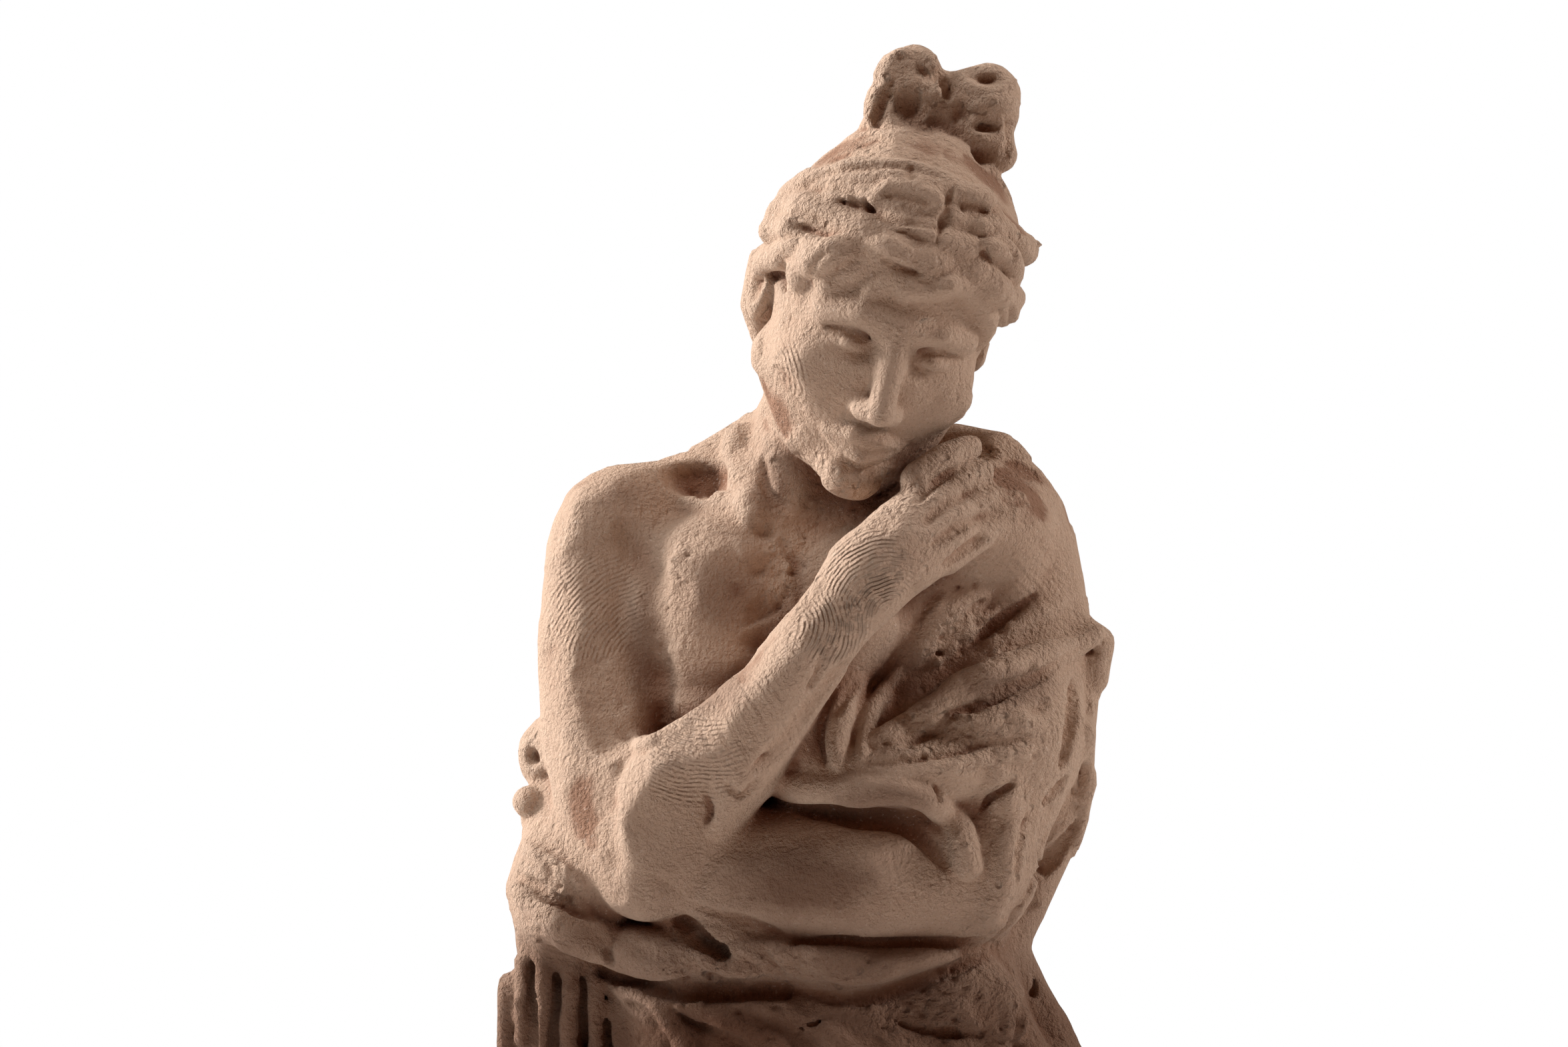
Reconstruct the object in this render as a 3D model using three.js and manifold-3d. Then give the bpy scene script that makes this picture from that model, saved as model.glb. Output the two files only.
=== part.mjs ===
// A sculptor's sketch in terracotta: a standing draped figure with folded arms and a bowed head.
// The whole work, with its low base, is one solid of fired clay.
// Millimetres, +Z up. The figure faces -Y, and "right" and "left" are the figure's own.
// The origin is on the underside of the base, below the middle of the object's box.
//
// The clay is a signed distance field, built the way a sketch is: rolls and balls are pressed on and
// blended, hollows are scraped out, and folds are laid on whatever is already there. A net of quads is
// then drawn over it, on a grid that is finer where the figure is narrower, and joined to the base.
import * as THREE from 'three';
import { LoftGeometry } from 'three/addons/geometries/LoftGeometry.js';
import { mergeVertices } from 'three/addons/utils/BufferGeometryUtils.js';
import Module from 'manifold-3d';

const wasm = await Module();
wasm.setup();

// Driving sizes
const FIGURE_HEIGHT = 311; // soles to the top of the hair knot
const BASE_WIDTH = 104;
const BASE_DEPTH = 88;
const BASE_THICKNESS = 14;
const BASE_EDGE_RADIUS = 4;
const BASE_SQUARENESS = 3.4; // exponent of the outline: 2 is an ellipse, more is squarer
const HEAD_HEIGHT = 44; // chin to the top of the skull
const SKIRT_FOLDS = 13; // main folds right round the skirt
const SKIRT_FOLD_DEPTH = 3.4; // crest to valley at the hem

const point = (x, y, z) => new THREE.Vector3(x, y, z);
const lerp = THREE.MathUtils.lerp;
const clamp = THREE.MathUtils.clamp;
const smooth = THREE.MathUtils.smoothstep;

// The pose is drawn on a figure this tall, standing on z = 0, and is scaled to FIGURE_HEIGHT
const DRAWN_HEIGHT = 311;
const SCALE = FIGURE_HEIGHT / DRAWN_HEIGHT;

// Places on the front are drawn as an eye in front sees them: x and z on the upright plane through the
// middle of the figure, moved along the line of sight to their depth y
const EYE = point(-1.6, -704, 247.7);
const seen = (x, z, y) => point(x, 0, z).lerp(EYE, y / EYE.y);

// Head. Its own frame has its middle at eye level, x to the figure's left, y backwards and z up. Lengths
// in it are in mm on a head 42 mm high; the knot is drawn as seen on one that is HEAD_DRAWN high.
const HEAD_MIDDLE = point(10.8, -12, 276);
const HEAD_LEAN = THREE.MathUtils.degToRad(13); // towards the left shoulder
const HEAD_TURN = THREE.MathUtils.degToRad(12); // towards the left
const HEAD_BOW = THREE.MathUtils.degToRad(20);
const HEAD_AXES = new THREE.Matrix4()
	.makeRotationY(HEAD_LEAN)
	.multiply(new THREE.Matrix4().makeRotationZ(HEAD_TURN))
	.multiply(new THREE.Matrix4().makeRotationX(HEAD_BOW));
const HEAD_TURNING = new THREE.Matrix3().setFromMatrix4(HEAD_AXES);
const HEAD_SCALE = HEAD_HEIGHT / SCALE / 42;
const HEAD_DRAWN = 44;
const HEAD_GROWTH = HEAD_HEIGHT / SCALE / HEAD_DRAWN;
const grown = (place) => place.sub(HEAD_MIDDLE).multiplyScalar(HEAD_GROWTH).add(HEAD_MIDDLE);

// Mesh of the net at a few heights of the drawn figure: the step between levels, and across each level
const MESH = [
	{ z: -6, step: 11.5, across: 4.6 },
	{ z: 176, step: 8, across: 4.6 },
	{ z: 188, step: 4.4, across: 4.3 },
	{ z: 250, step: 3.8, across: 3.8 },
	{ z: 264, step: 2.9, across: 2.9 },
	{ z: grown(point(15, -12, 296)).z, step: 2.7, across: 2.7 },
	{ z: grown(point(21, -15, 318)).z, step: 2.3, across: 2.3 },
];
const MESH_COLUMNS = 27;
const MESH_ROWS = 24;
const BASE_SIDES = 72;

// The middle of each level of the grid follows the figure up from the feet to the knot
const AXIS = new THREE.CatmullRomCurve3([
	point(0, 0, -6),
	point(0, 0, 120),
	point(0, -1, 186),
	point(0, -2, 230),
	point(2.5, -3, 252),
	grown(point(9, -9, 270)),
	grown(point(15, -12, 290)),
	grown(point(20, -14, 305)),
	grown(point(21, -15, 318)),
]).getPoints(200);

// Forms: each returns a function of x, y, z giving the distance to its skin, below zero inside

const FAR = 14; // beyond this a form answers with the distance to its bounding ball

// An egg: an ellipsoid with radii along its own axes, turned by a matrix
function egg(centre, rx, ry, rz, turn = new THREE.Matrix3()) {
	const m = turn.clone().transpose().elements;
	return (px, py, pz) => {
		const dx = px - centre.x;
		const dy = py - centre.y;
		const dz = pz - centre.z;
		const x = (m[0] * dx + m[3] * dy + m[6] * dz) / rx;
		const y = (m[1] * dx + m[4] * dy + m[7] * dz) / ry;
		const z = (m[2] * dx + m[5] * dy + m[8] * dz) / rz;
		const reach = Math.hypot(x, y, z);
		const slope = Math.hypot(x / rx, y / ry, z / rz);
		return slope < 1e-9 ? -Math.min(rx, ry, rz) : (reach * (reach - 1)) / slope;
	};
}

// A roll of clay along points, its radius running evenly from stop to stop
function roll(points, stops) {
	const hull = new THREE.Sphere().setFromPoints(points);
	hull.radius += Math.max(...stops);
	return (x, y, z) => {
		const away = Math.hypot(x - hull.center.x, y - hull.center.y, z - hull.center.z) - hull.radius;
		if (away > FAR) return away;
		let nearest = Infinity;
		for (let i = 1; i < points.length; i++) {
			const a = points[i - 1];
			const b = points[i];
			const bx = b.x - a.x;
			const by = b.y - a.y;
			const bz = b.z - a.z;
			const along = ((x - a.x) * bx + (y - a.y) * by + (z - a.z) * bz) / (bx * bx + by * by + bz * bz);
			const t = clamp(along, 0, 1);
			const gap = Math.hypot(x - a.x - t * bx, y - a.y - t * by, z - a.z - t * bz);
			nearest = Math.min(nearest, gap - lerp(stops[i - 1], stops[i], t));
		}
		return nearest;
	};
}

// The clay, as the list of what is pressed on and scraped out, in order
const worked = [];
const press = (form, blend) => worked.push({ form, blend, side: 1 });
const scrape = (form, blend) => worked.push({ form, blend, side: -1 });

function clay(x, y, z) {
	let d = Infinity;
	for (const { form, blend, side } of worked) {
		const other = side * form(x, y, z);
		// Pressed on takes the nearer skin, scraped out the farther, with a fillet as wide as the blend
		const gap = Math.abs(d - other);
		const fillet = gap < blend ? ((blend - gap) * (blend - gap)) / (4 * blend) : 0;
		d = side > 0 ? Math.min(d, other) - fillet : Math.max(d, other) + fillet;
	}
	return d;
}

// How far along a straight way from a start the clay is met, or null if it is missed
const STROKE_START = 75;
function meet(start, way) {
	for (let gone = 0; gone < 1.5 * STROKE_START; ) {
		const gap = clay(start.x + way.x * gone, start.y + way.y * gone, start.z + way.z * gone);
		if (gap < 0.05) return gone;
		gone += Math.max(0.7 * gap, 0.1);
	}
	return null;
}

// Where a stroke sets out for the clay, and which way it goes
const BACK_EYE = EYE.clone().setY(-EYE.y);
function aim(at, from) {
	const turn = THREE.MathUtils.degToRad(at.x);
	const goal = from === 'around' ? point(0, 0, at.z) : at;
	const way =
		from === 'around'
			? point(-Math.sin(turn), Math.cos(turn), 0)
			: goal.clone().sub(from === 'back' ? BACK_EYE : EYE).normalize();
	return { start: goal.clone().addScaledVector(way, -STROKE_START), way };
}

// A stroke laid on the clay along smoothed stops, its radius thinned at both ends. It is drawn from the
// front or the back as [x, z], or right round the figure as [degrees, z], 0 at the front and 90 at the
// left side. lift moves its middle line out of the surface, so half sunk is 0.
function stroke(stops, radius, { lift = 0, from = 'front', taper = 0.45 } = {}) {
	const line = new THREE.CatmullRomCurve3(stops.map(([x, z]) => point(x, 0, z)));
	const span = from === 'around' ? 2 : 4;
	const count = Math.max(6, Math.round(line.getLength() / span / 1.5));
	const points = [];
	const radii = [];
	for (let i = 0; i <= count; i++) {
		const { start, way } = aim(line.getPoint(i / count), from);
		const gone = meet(start, way);
		if (gone === null) continue;
		points.push(start.addScaledVector(way, gone - lift));
		radii.push(radius * lerp(taper, 1, Math.sqrt(4 * (i / count) * (1 - i / count))));
	}
	return points.length > 1 ? roll(points, radii) : () => Infinity;
}

function ridges(list, blend = 2) {
	for (const { stops, radius, ...how } of list) press(stroke(stops, radius, how), blend);
}

function grooves(list, blend = 1.5) {
	for (const { stops, radius, ...how } of list) scrape(stroke(stops, radius, how), blend);
}

// Flattened strips pressed on, and furrows cut in, each as wide and as high or deep as given
const archRadius = (width, rise) => (rise * rise + (width * width) / 4) / (2 * rise);

function bands(list, blend = 1) {
	for (const { stops, width, height, ...how } of list) {
		const radius = archRadius(width, height);
		press(stroke(stops, radius, { lift: height - radius, taper: 0.6, ...how }), blend);
	}
}

function cuts(list, blend = 0.8) {
	for (const { stops, width, depth, ...how } of list) {
		const radius = archRadius(width, depth);
		scrape(stroke(stops, radius, { lift: radius - depth, taper: 0.6, ...how }), blend);
	}
}

// Body

function torso() {
	press(egg(point(3, 3, 222), 26, 16.5, 35), 0);
	press(egg(point(0, 1, 190), 28, 19, 28), 8);
	press(roll([point(-21, 3, 242), point(3, 4, 245), point(27, 3, 242)], [9.5, 11, 9.5]), 6);
	press(roll([point(1, 5, 242), point(3.2, 1, 256), point(7, -3, 268)], [12.5, 10, 10]), 4);
	press(roll([point(-3, 6, 257.6), point(-12, 5, 252.8), point(-22, 3, 249.6)], [6, 5.8, 5.8]), 4);
	press(roll([point(6, 8, 258), point(16, 6, 252), point(27, 3, 249)], [6.5, 6, 6]), 5);
	press(egg(point(-10, -8, 238), 13, 8.5, 11.5), 4);
	press(egg(point(11, -9, 236), 13, 8, 12), 4);
	collar();
	grooves([
		{ stops: [[-20, 226], [-15, 225.5], [-10, 226.5], [-6, 229.5]], radius: 2.6, lift: 0.4 },
		{ stops: [[-4.5, 246], [-4.6, 240], [-5, 234], [-4, 230]], radius: 1.8, lift: 0.9 },
		{ stops: [[-19.6, 242], [-19.4, 236], [-19, 229], [-18.4, 222]], radius: 2, lift: 0.9 },
	]);
}

// Collar bone, the cord of the neck and the two hollows between them
function collar() {
	ridges([
		{ stops: [[-3, 247.5], [-9, 249.8], [-14, 251], [-20, 253.5]], radius: 1.9, lift: 0.3 },
		{ stops: [[-5.5, 248], [-6.8, 254], [-7.6, 259], [-6.5, 264]], radius: 2.5, lift: 0.3 },
	]);
	press(roll([point(-2, -8, 246), point(-1, -5, 256), point(2, -6, 266)], [4, 4.6, 5]), 3);
	scrape(egg(seen(-14, 254.2, -3.5), 4.8, 4.6, 2.9), 1.2);
	scrape(egg(seen(2.6, 248.3, -15), 4.2, 4.5, 2.8), 1.5);
}

function rightArm() {
	const shoulder = seen(-24.8, 246.2, 0);
	const elbow = seen(-20.4, 200.9, -20.5);
	press(egg(shoulder, 9.2, 9.2, 9), 5);
	const upper = [
		shoulder,
		seen(-27.1, 236, -2.5),
		seen(-27, 227, -6),
		seen(-26.2, 218, -11),
		seen(-24.6, 210, -15.5),
		seen(-22.4, 204, -18.5),
		elbow,
	];
	press(roll(upper, [8.9, 7.9, 7.7, 7.7, 7.4, 6.9, 6.1]), 2.5);
	const fore = [
		elbow,
		seen(-18.2, 206.2, -20.5),
		seen(-14.6, 211.6, -21.5),
		seen(-9.4, 216, -23),
		seen(-2.8, 224.4, -25.5),
		seen(5, 234.8, -26.5),
		seen(9.8, 240.6, -26),
	];
	press(roll(fore, [6.1, 8.4, 8.7, 7.6, 5.9, 5.2, 5.6]), 1.6);
	// Clay left behind the forearm, so that it is not undercut
	press(roll([seen(-12, 214, -14), seen(0, 224, -16), seen(8, 235, -17)], [6, 5.5, 6]), 2);
	ridges([
		{ stops: [[-30, 249], [-31.5, 242], [-30, 234]], radius: 4.5, lift: -3.2 },
		{ stops: [[-10, 219.5], [-4, 224.5], [1, 230]], radius: 2.6, lift: -1.6 },
	]);
	grooves([
		{ stops: [[-22.5, 247], [-20.5, 243], [-19.8, 238]], radius: 2.2, lift: 1.2 },
		{ stops: [[-24.8, 222.5], [-23.2, 220], [-21.6, 217.4], [-19.5, 217.5]], radius: 1.3, lift: 0.2 },
	]);
	// The flat front of the elbow
	scrape(egg(seen(-18.2, 204.6, -45.4), 24, 18, 21), 0.8);
	cuts([
		{ stops: [[-28.5, 232], [-26, 226], [-25.5, 219]], width: 4.5, depth: 0.8 },
		{ stops: [[-26.6, 211], [-26.2, 206], [-25, 201]], width: 3, depth: 0.8 },
	]);
}

// The right hand lies on the left shoulder. Each finger is a chain from the knuckle to the tip.
function rightHand() {
	press(egg(seen(23, 247.4, -9), 11.5, 9.5, 8.5), 4);
	press(roll([seen(9.8, 240.6, -26), seen(13.8, 243.8, -24.5), seen(18.4, 247.2, -21)], [5.4, 6, 6.2]), 2);
	const knuckles = [seen(16.4, 253.6, -21.5), seen(20.2, 243, -22.5)];
	const tips = [seen(23.4, 258, -15.5), seen(28.2, 247.6, -16)];
	const fingers = 4;
	for (let i = 0; i < fingers; i++) {
		const t = i / (fingers - 1);
		const knuckle = knuckles[0].clone().lerp(knuckles[1], t);
		const tip = tips[0].clone().lerp(tips[1], t);
		const joint = knuckle.clone().lerp(tip, 0.5).add(point(0, -1.3, 0.4));
		press(roll([knuckle, joint, tip], [2.4, 2.2, 1.8]), 0.6);
	}
	cuts([
		{ stops: [[19.5, 241.5], [22, 243.5], [25.6, 246.2]], width: 2, depth: 1.3 },
		{ stops: [[18.2, 244.8], [21.5, 247], [26, 249]], width: 1.8, depth: 1.2 },
		{ stops: [[17.2, 247.6], [20, 250], [24.2, 252.2]], width: 1.8, depth: 1.2 },
	]);
}

function leftArm() {
	const shoulder = seen(26.5, 246, 1);
	const elbow = seen(22.8, 201.5, -13);
	press(roll([shoulder, seen(29, 234, -1), seen(28.5, 220, -6), elbow], [9.2, 9.6, 9.8, 9.3]), 5);
	const hand = point(-32, -6, 209.5);
	const fore = [elbow, seen(9, 200.6, -17), seen(-9, 200.2, -17), point(-25, -12, 205), hand];
	press(roll(fore, [9.2, 9.5, 9, 7, 4.8]), 2.5);
}

// The left hand comes out behind the right arm: a thumb joint and the knuckles above it
function leftHand() {
	press(egg(seen(-34.2, 216.6, -3.5), 3.1, 5.5, 4.8), 1);
	press(egg(seen(-35.8, 210.2, -8), 2.4, 2.8, 2.2), 0.4);
}

// Cloth

// Over the left shoulder and down the arm, round the back and under the right arm
function cloak() {
	press(roll([seen(21.6, 255.8, 4), seen(27.3, 255.2, -2), seen(31, 252.4, -3)], [5.4, 4.8, 3.6]), 2);
	press(roll([point(33, 0, 249), point(34, -1, 240), point(34.5, -1, 226)], [3.2, 3.8, 4.6]), 4);
	press(egg(point(4, 13, 225), 30, 9, 36), 5);
	press(egg(seen(24, 219, -11), 14, 12, 11), 5);
	press(egg(seen(-30.5, 198.2, -7), 8.4, 13, 10.6), 3);
	press(egg(seen(4.5, 217.5, -15), 9.5, 9, 9), 3);
	press(egg(seen(13, 214.2, -19), 14, 8.5, 5.4), 2);
	cloakSide();
	cloakFront();
	cloakBack();
}

// The cloth falls behind the left elbow and is bunched on the outer side of the arm
function cloakSide() {
	const outer = [
		seen(38, 226, -1),
		seen(36.2, 214, -1),
		seen(34.2, 205, -1),
		seen(31, 196, -2),
		seen(28.5, 191, -4),
	];
	press(roll(outer, [3, 4, 3.6, 2.8, 2.4]), 2.5);
	press(roll([seen(37.6, 233.8, -4), seen(40.6, 231.6, -3), seen(39.8, 227, -3)], [2.2, 2.3, 2.4]), 1);
	cuts([
		{ stops: [[37.4, 226.6], [36.9, 222], [36.3, 218], [35.6, 215.2]], width: 2.8, depth: 2.6 },
		{ stops: [[38.4, 208], [35.4, 203.9], [33, 201], [31, 197]], width: 2.8, depth: 2.2 },
	]);
}

// A deep hollow behind the right forearm with folds across it, and a pointed lip over the left forearm
function cloakFront() {
	const outer = [seen(29, 238, -16), seen(21, 230.6, -19.5)];
	const inner = [seen(13.4, 223.6, -23.5), seen(9.6, 219.6, -25)];
	scrape(roll([...outer, ...inner], [4.2, 5, 4.2, 2.4]), 1.2);
	const hem = [[40.6, 233], [35, 230.2], [29, 228.5], [23, 225.9], [17, 221.4], [10, 217.8]];
	ridges([{ stops: hem, radius: 2.4, lift: 0.5 }], 0.8);
	bands([
		{ stops: [[31, 245], [25, 239], [18.4, 233], [14.6, 228.8], [11.4, 222.6]], width: 4.4, height: 1.4 },
		{ stops: [[36.5, 237.5], [31, 234.4], [25.6, 230.6]], width: 3.4, height: 1.2 },
		{ stops: [[12.6, 231.2], [9, 227.6], [6.6, 223.6], [5.6, 219], [5.8, 214.6]], width: 3.4, height: 1.9 },
		{ stops: [[8, 229], [4, 225], [1.6, 220.6], [1.2, 215]], width: 3, height: 1.4 },
		{
			stops: [[-1, 212.3], [3, 211.9], [9, 211.6], [14, 211.7], [18, 210.6], [21.4, 207], [23.4, 201.6]],
			width: 4.4,
			height: 2.2,
			taper: 0.8,
		},
	]);
	cuts([
		{ stops: [[3.6, 222], [3.4, 218], [3.8, 214.6]], width: 2.2, depth: 1.4 },
		{ stops: [[0.4, 209.8], [6, 208.4], [13, 207.4], [17.4, 205.2], [20.4, 201.2]], width: 3.2, depth: 1.7 },
		{ stops: [[8.8, 215.4], [14, 215.6], [20, 216.4], [27, 218], [33, 218.8]], width: 2.4, depth: 1 },
	]);
}

// Long folds from the left shoulder down to the right hip
function cloakBack() {
	const falls = [
		{ stops: [[26, 252], [16, 240], [4, 224], [-10, 208], [-24, 196]], radius: 2.6 },
		{ stops: [[30, 244], [22, 230], [10, 214], [-4, 200], [-16, 191]], radius: 2.4 },
		{ stops: [[18, 256], [6, 246], [-8, 232], [-22, 218], [-30, 210]], radius: 2.3 },
		{ stops: [[34, 232], [30, 218], [22, 204], [12, 194]], radius: 2.2 },
		{ stops: [[8, 256], [-4, 250], [-16, 240], [-26, 228]], radius: 2 },
	];
	for (const { stops, radius } of falls) {
		const below = stops.map(([x, z]) => [x - 2.6, z - 3.6]);
		ridges([{ stops, radius, lift: 0.8, from: 'back' }], 0.8);
		cuts([{ stops: below, width: 2.4 * radius, depth: 0.7 * radius, from: 'back' }]);
	}
}

// The turned-over edge of the cloth below the forearm, with shadow under it: right round the sides and
// back, then the front, made of overlapping strips
function overfold() {
	const rim = [];
	for (let degrees = 60; degrees <= 300; degrees += 15) {
		const turn = THREE.MathUtils.degToRad(degrees);
		rim.push([degrees, 188.8 + 1.5 * Math.sin(turn * 2 - 1) + 1.1 * Math.sin(turn * 5)]);
	}
	const under = rim.map(([degrees, z]) => [degrees, z - 4]);
	ridges([{ stops: rim, radius: 2.8, lift: -0.2, taper: 1, from: 'around' }], 1);
	cuts([{ stops: under, width: 3.2, depth: 1.5, taper: 1, from: 'around' }]);
	const front = [[-34, 193.2], [-27, 192.4], [-20, 190.4], [-12, 189.4], [4, 188.6], [12, 188.6], [20, 190]];
	ridges([{ stops: front, radius: 2.7, lift: 0.3, taper: 0.75 }], 1);
	bands([
		{
			stops: [[-36.4, 204.4], [-30, 199.4], [-24, 195.6], [-17, 193.4], [-9, 192.4], [-1, 190.8]],
			width: 3.8,
			height: 1.6,
		},
		{ stops: [[-38, 199], [-33, 194], [-28, 190.8], [-23, 190]], width: 4, height: 1.4 },
	]);
	cuts([
		{ stops: [[-31, 207.4], [-29.4, 202], [-26, 197.6]], width: 2.2, depth: 1.2 },
		{ stops: [[-16.4, 195], [-13, 192.2], [-9, 189.4]], width: 3, depth: 2.2 },
		{
			stops: [[-37, 188.6], [-30, 186.8], [-26.6, 187.6], [-22, 186.4], [-16, 184.6], [-8, 184.4], [0, 184.6]],
			width: 3.2,
			depth: 1.9,
		},
		{ stops: [[0, 184.6], [8, 183.6], [14, 185], [20, 187.2], [26, 189.6]], width: 2.6, depth: 1.4 },
	]);
}

// The skirt is a cone of folds. Its middle and half widths are given at a few heights and run smoothly
// between them; the folds swirl a little on the way down and flatten where a thigh and knee press on them.
const SKIRT_TOP = 192;
const SKIRT_STATIONS = [
	{ z: 0, x: 0.5, y: 0, halfWidth: 43, halfDepth: 34 },
	{ z: 40, x: 1, y: 0, halfWidth: 40.5, halfDepth: 31 },
	{ z: 95, x: 1.5, y: -1, halfWidth: 40, halfDepth: 29 },
	{ z: 150, x: 2, y: 0, halfWidth: 40, halfDepth: 26 },
	{ z: 172, x: 0.5, y: 0.5, halfWidth: 38, halfDepth: 23.5 },
	{ z: SKIRT_TOP, x: -4, y: 1, halfWidth: 31.5, halfDepth: 20.5 },
];
const skirtCurve = (key) => {
	const line = new THREE.CatmullRomCurve3(SKIRT_STATIONS.map((s) => point(s.z, s[key], 0)));
	const table = line.getPoints(60);
	return (z) => {
		const i = Math.max(table.findIndex((p) => p.x >= Math.min(z, SKIRT_TOP)), 1);
		const t = clamp((z - table[i - 1].x) / (table[i].x - table[i - 1].x), 0, 1);
		return lerp(table[i - 1].y, table[i].y, t);
	};
};

function skirt() {
	const [midX, midY, halfWidth, halfDepth] = ['x', 'y', 'halfWidth', 'halfDepth'].map(skirtCurve);
	press((x, y, z) => {
		const a = halfWidth(z);
		const b = halfDepth(z);
		const turn = Math.atan2((y - midY(z)) / b, (x - midX(z)) / a);
		const swirl = 0.9 * Math.sin(turn * 2 + 0.6) + 0.5 * Math.sin(turn * 3 - z / 60) + z / 130;
		const crest = 2 * Math.abs(Math.sin((SKIRT_FOLDS * turn) / 2 + swirl)) - 1;
		const depth = (SKIRT_FOLD_DEPTH / 2) * (1 - 0.55 * smooth(z, 60, SKIRT_TOP));
		const reach = Math.hypot((x - midX(z)) / a, (y - midY(z)) / b);
		const gap = (reach - 1) * 0.8 * Math.min(a, b) - depth * crest;
		return Math.max(gap, z - SKIRT_TOP, -z - 1);
	}, 3);
	press(roll([point(15, -12, 168), point(15, -21, 112), point(14, -18, 96)], [13, 10.5, 9]), 7);
	press(roll([point(14, -18, 98), point(13, -18, 40), point(13, -22, 10)], [9, 9, 8]), 8);
	upperFolds();
	ridges([
		{ stops: [[-29, 176], [-24, 150], [-18, 120], [-15, 70], [-14, 14]], radius: 2.8, lift: 0.7 },
		{ stops: [[-8, 158], [0, 132], [5, 108], [6, 92]], radius: 2.8, lift: 0.7 },
		{ stops: [[22, 150], [27, 120], [26, 70], [27, 14]], radius: 2.8, lift: 0.7 },
		{ stops: [[36, 176], [39, 160], [40, 130], [41, 80]], radius: 2.8, lift: 0.7 },
		{ stops: [[4, 92], [1, 60], [2, 14]], radius: 2.8, lift: 0.7 },
		{ stops: [[-27, 120], [-29, 70], [-28, 14]], radius: 2.8, lift: 0.7 },
	]);
}

// The folds just below the overfold
function upperFolds() {
	for (const x of [-38, -33.6, -28.6]) {
		bands([{ stops: [[x, 189], [x, 178], [x + 0.5, 150], [x, 110]], width: 3.4, height: 1.6 }]);
	}
	bands([
		{ stops: [[-25.5, 187.4], [-21, 184], [-17, 180], [-13.5, 174], [-8, 158]], width: 4.6, height: 2.2 },
		{ stops: [[-20, 186], [-10, 180.6], [0, 174], [10, 162]], width: 4.6, height: 2 },
	]);
	press(egg(seen(21, 182, -14), 10.5, 6, 7.5), 1.5);
	cuts([
		{ stops: [[26, 189.6], [18, 187], [11, 183.4], [3, 180.6], [-3, 180]], width: 2.8, depth: 1.6 },
		{ stops: [[30.6, 190], [31.6, 184.6], [30, 180], [29.6, 174]], width: 2.8, depth: 1.5 },
	]);
}

function feet() {
	press(roll([point(13, -24, 5), point(14, -34, 3.4)], [5, 4]), 2);
	press(roll([point(-12, -22, 5), point(-16, -31, 3.4)], [5, 4]), 2);
}

// Head, in its own frame

const onHead = (x, y, z) =>
	point(x, y, z).multiplyScalar(HEAD_SCALE).applyMatrix4(HEAD_AXES).add(HEAD_MIDDLE);
const headEgg = (x, y, z, rx, ry, rz) =>
	egg(onHead(x, y, z), rx * HEAD_SCALE, ry * HEAD_SCALE, rz * HEAD_SCALE, HEAD_TURNING);
const headRoll = (stops, radii) =>
	roll(stops.map((s) => onHead(...s)), radii.map((r) => r * HEAD_SCALE));

// A plain face on the usual canon: eyes half way up, the nose a quarter and the mouth a third below
function face() {
	press(headEgg(0, 2.5, 6, 15, 17.5, 15), 2);
	press(headEgg(0, -3.8, -4, 13.2, 12.2, 15.5), 3);
	const jaw = [[-10.4, 0, -9], [-6, -6, -14.5], [0, -9.5, -17], [6, -6, -14.5], [10.4, 0, -9]];
	press(headRoll(jaw, [3.8, 3.8, 4, 3.8, 3.8]), 3);
	press(headEgg(0, -12.6, -17.8, 3.8, 3.4, 3.2), 2.5);
	const brow = [[-9.4, -11.2, 2.2], [-5, -14.3, 3.6], [0, -15, 3.4], [5, -14.3, 3.6], [9.4, -11.2, 2.2]];
	press(headRoll(brow, [1.5, 1.7, 1.6, 1.7, 1.5]), 1.5);
	for (const side of [-1, 1]) {
		scrape(headEgg(side * 5.7, -17.4, -0.6, 4.2, 4.2, 2.5), 1.4);
		press(headEgg(side * 5.5, -11.8, -0.8, 3.1, 2.6, 2.2), 0.8);
		press(headEgg(side * 8.8, -9.4, -5.4, 4, 3.8, 3.4), 3);
		press(headEgg(side * 2.1, -16.6, -8.2, 1.5, 1.7, 1.3), 0.8);
		press(headEgg(side * 14.6, 2.6, -1.2, 1.7, 3.2, 4.8), 1);
	}
	press(headRoll([[0, -14.6, 2], [0, -17.4, -4], [0, -19.2, -7.4]], [1.4, 1.6, 2]), 1.4);
	press(headRoll([[-4, -13.9, -12.4], [0, -16.1, -11.7], [4, -13.9, -12.4]], [0.7, 1.3, 0.7]), 0.8);
	press(headRoll([[-3.2, -13.8, -13.8], [0, -15.8, -14.2], [3.2, -13.8, -13.8]], [0.7, 1.4, 0.7]), 0.8);
}

// Hair bound round the skull: a cap, coils one above another, and a fringe of thick locks
const COILS = [
	{ height: 4.4, tilt: 3.4, width: 15.2, depth: 18.2, radius: 2.5, locks: 13, from: -2.2 },
	{ height: 8.6, tilt: 3, width: 15.2, depth: 18.2, radius: 2.4, locks: 12, from: -2.05 },
	{ height: 12.6, tilt: 2.4, width: 13.8, depth: 16.8, radius: 2.3, locks: 11, from: -2.3 },
];

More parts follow.
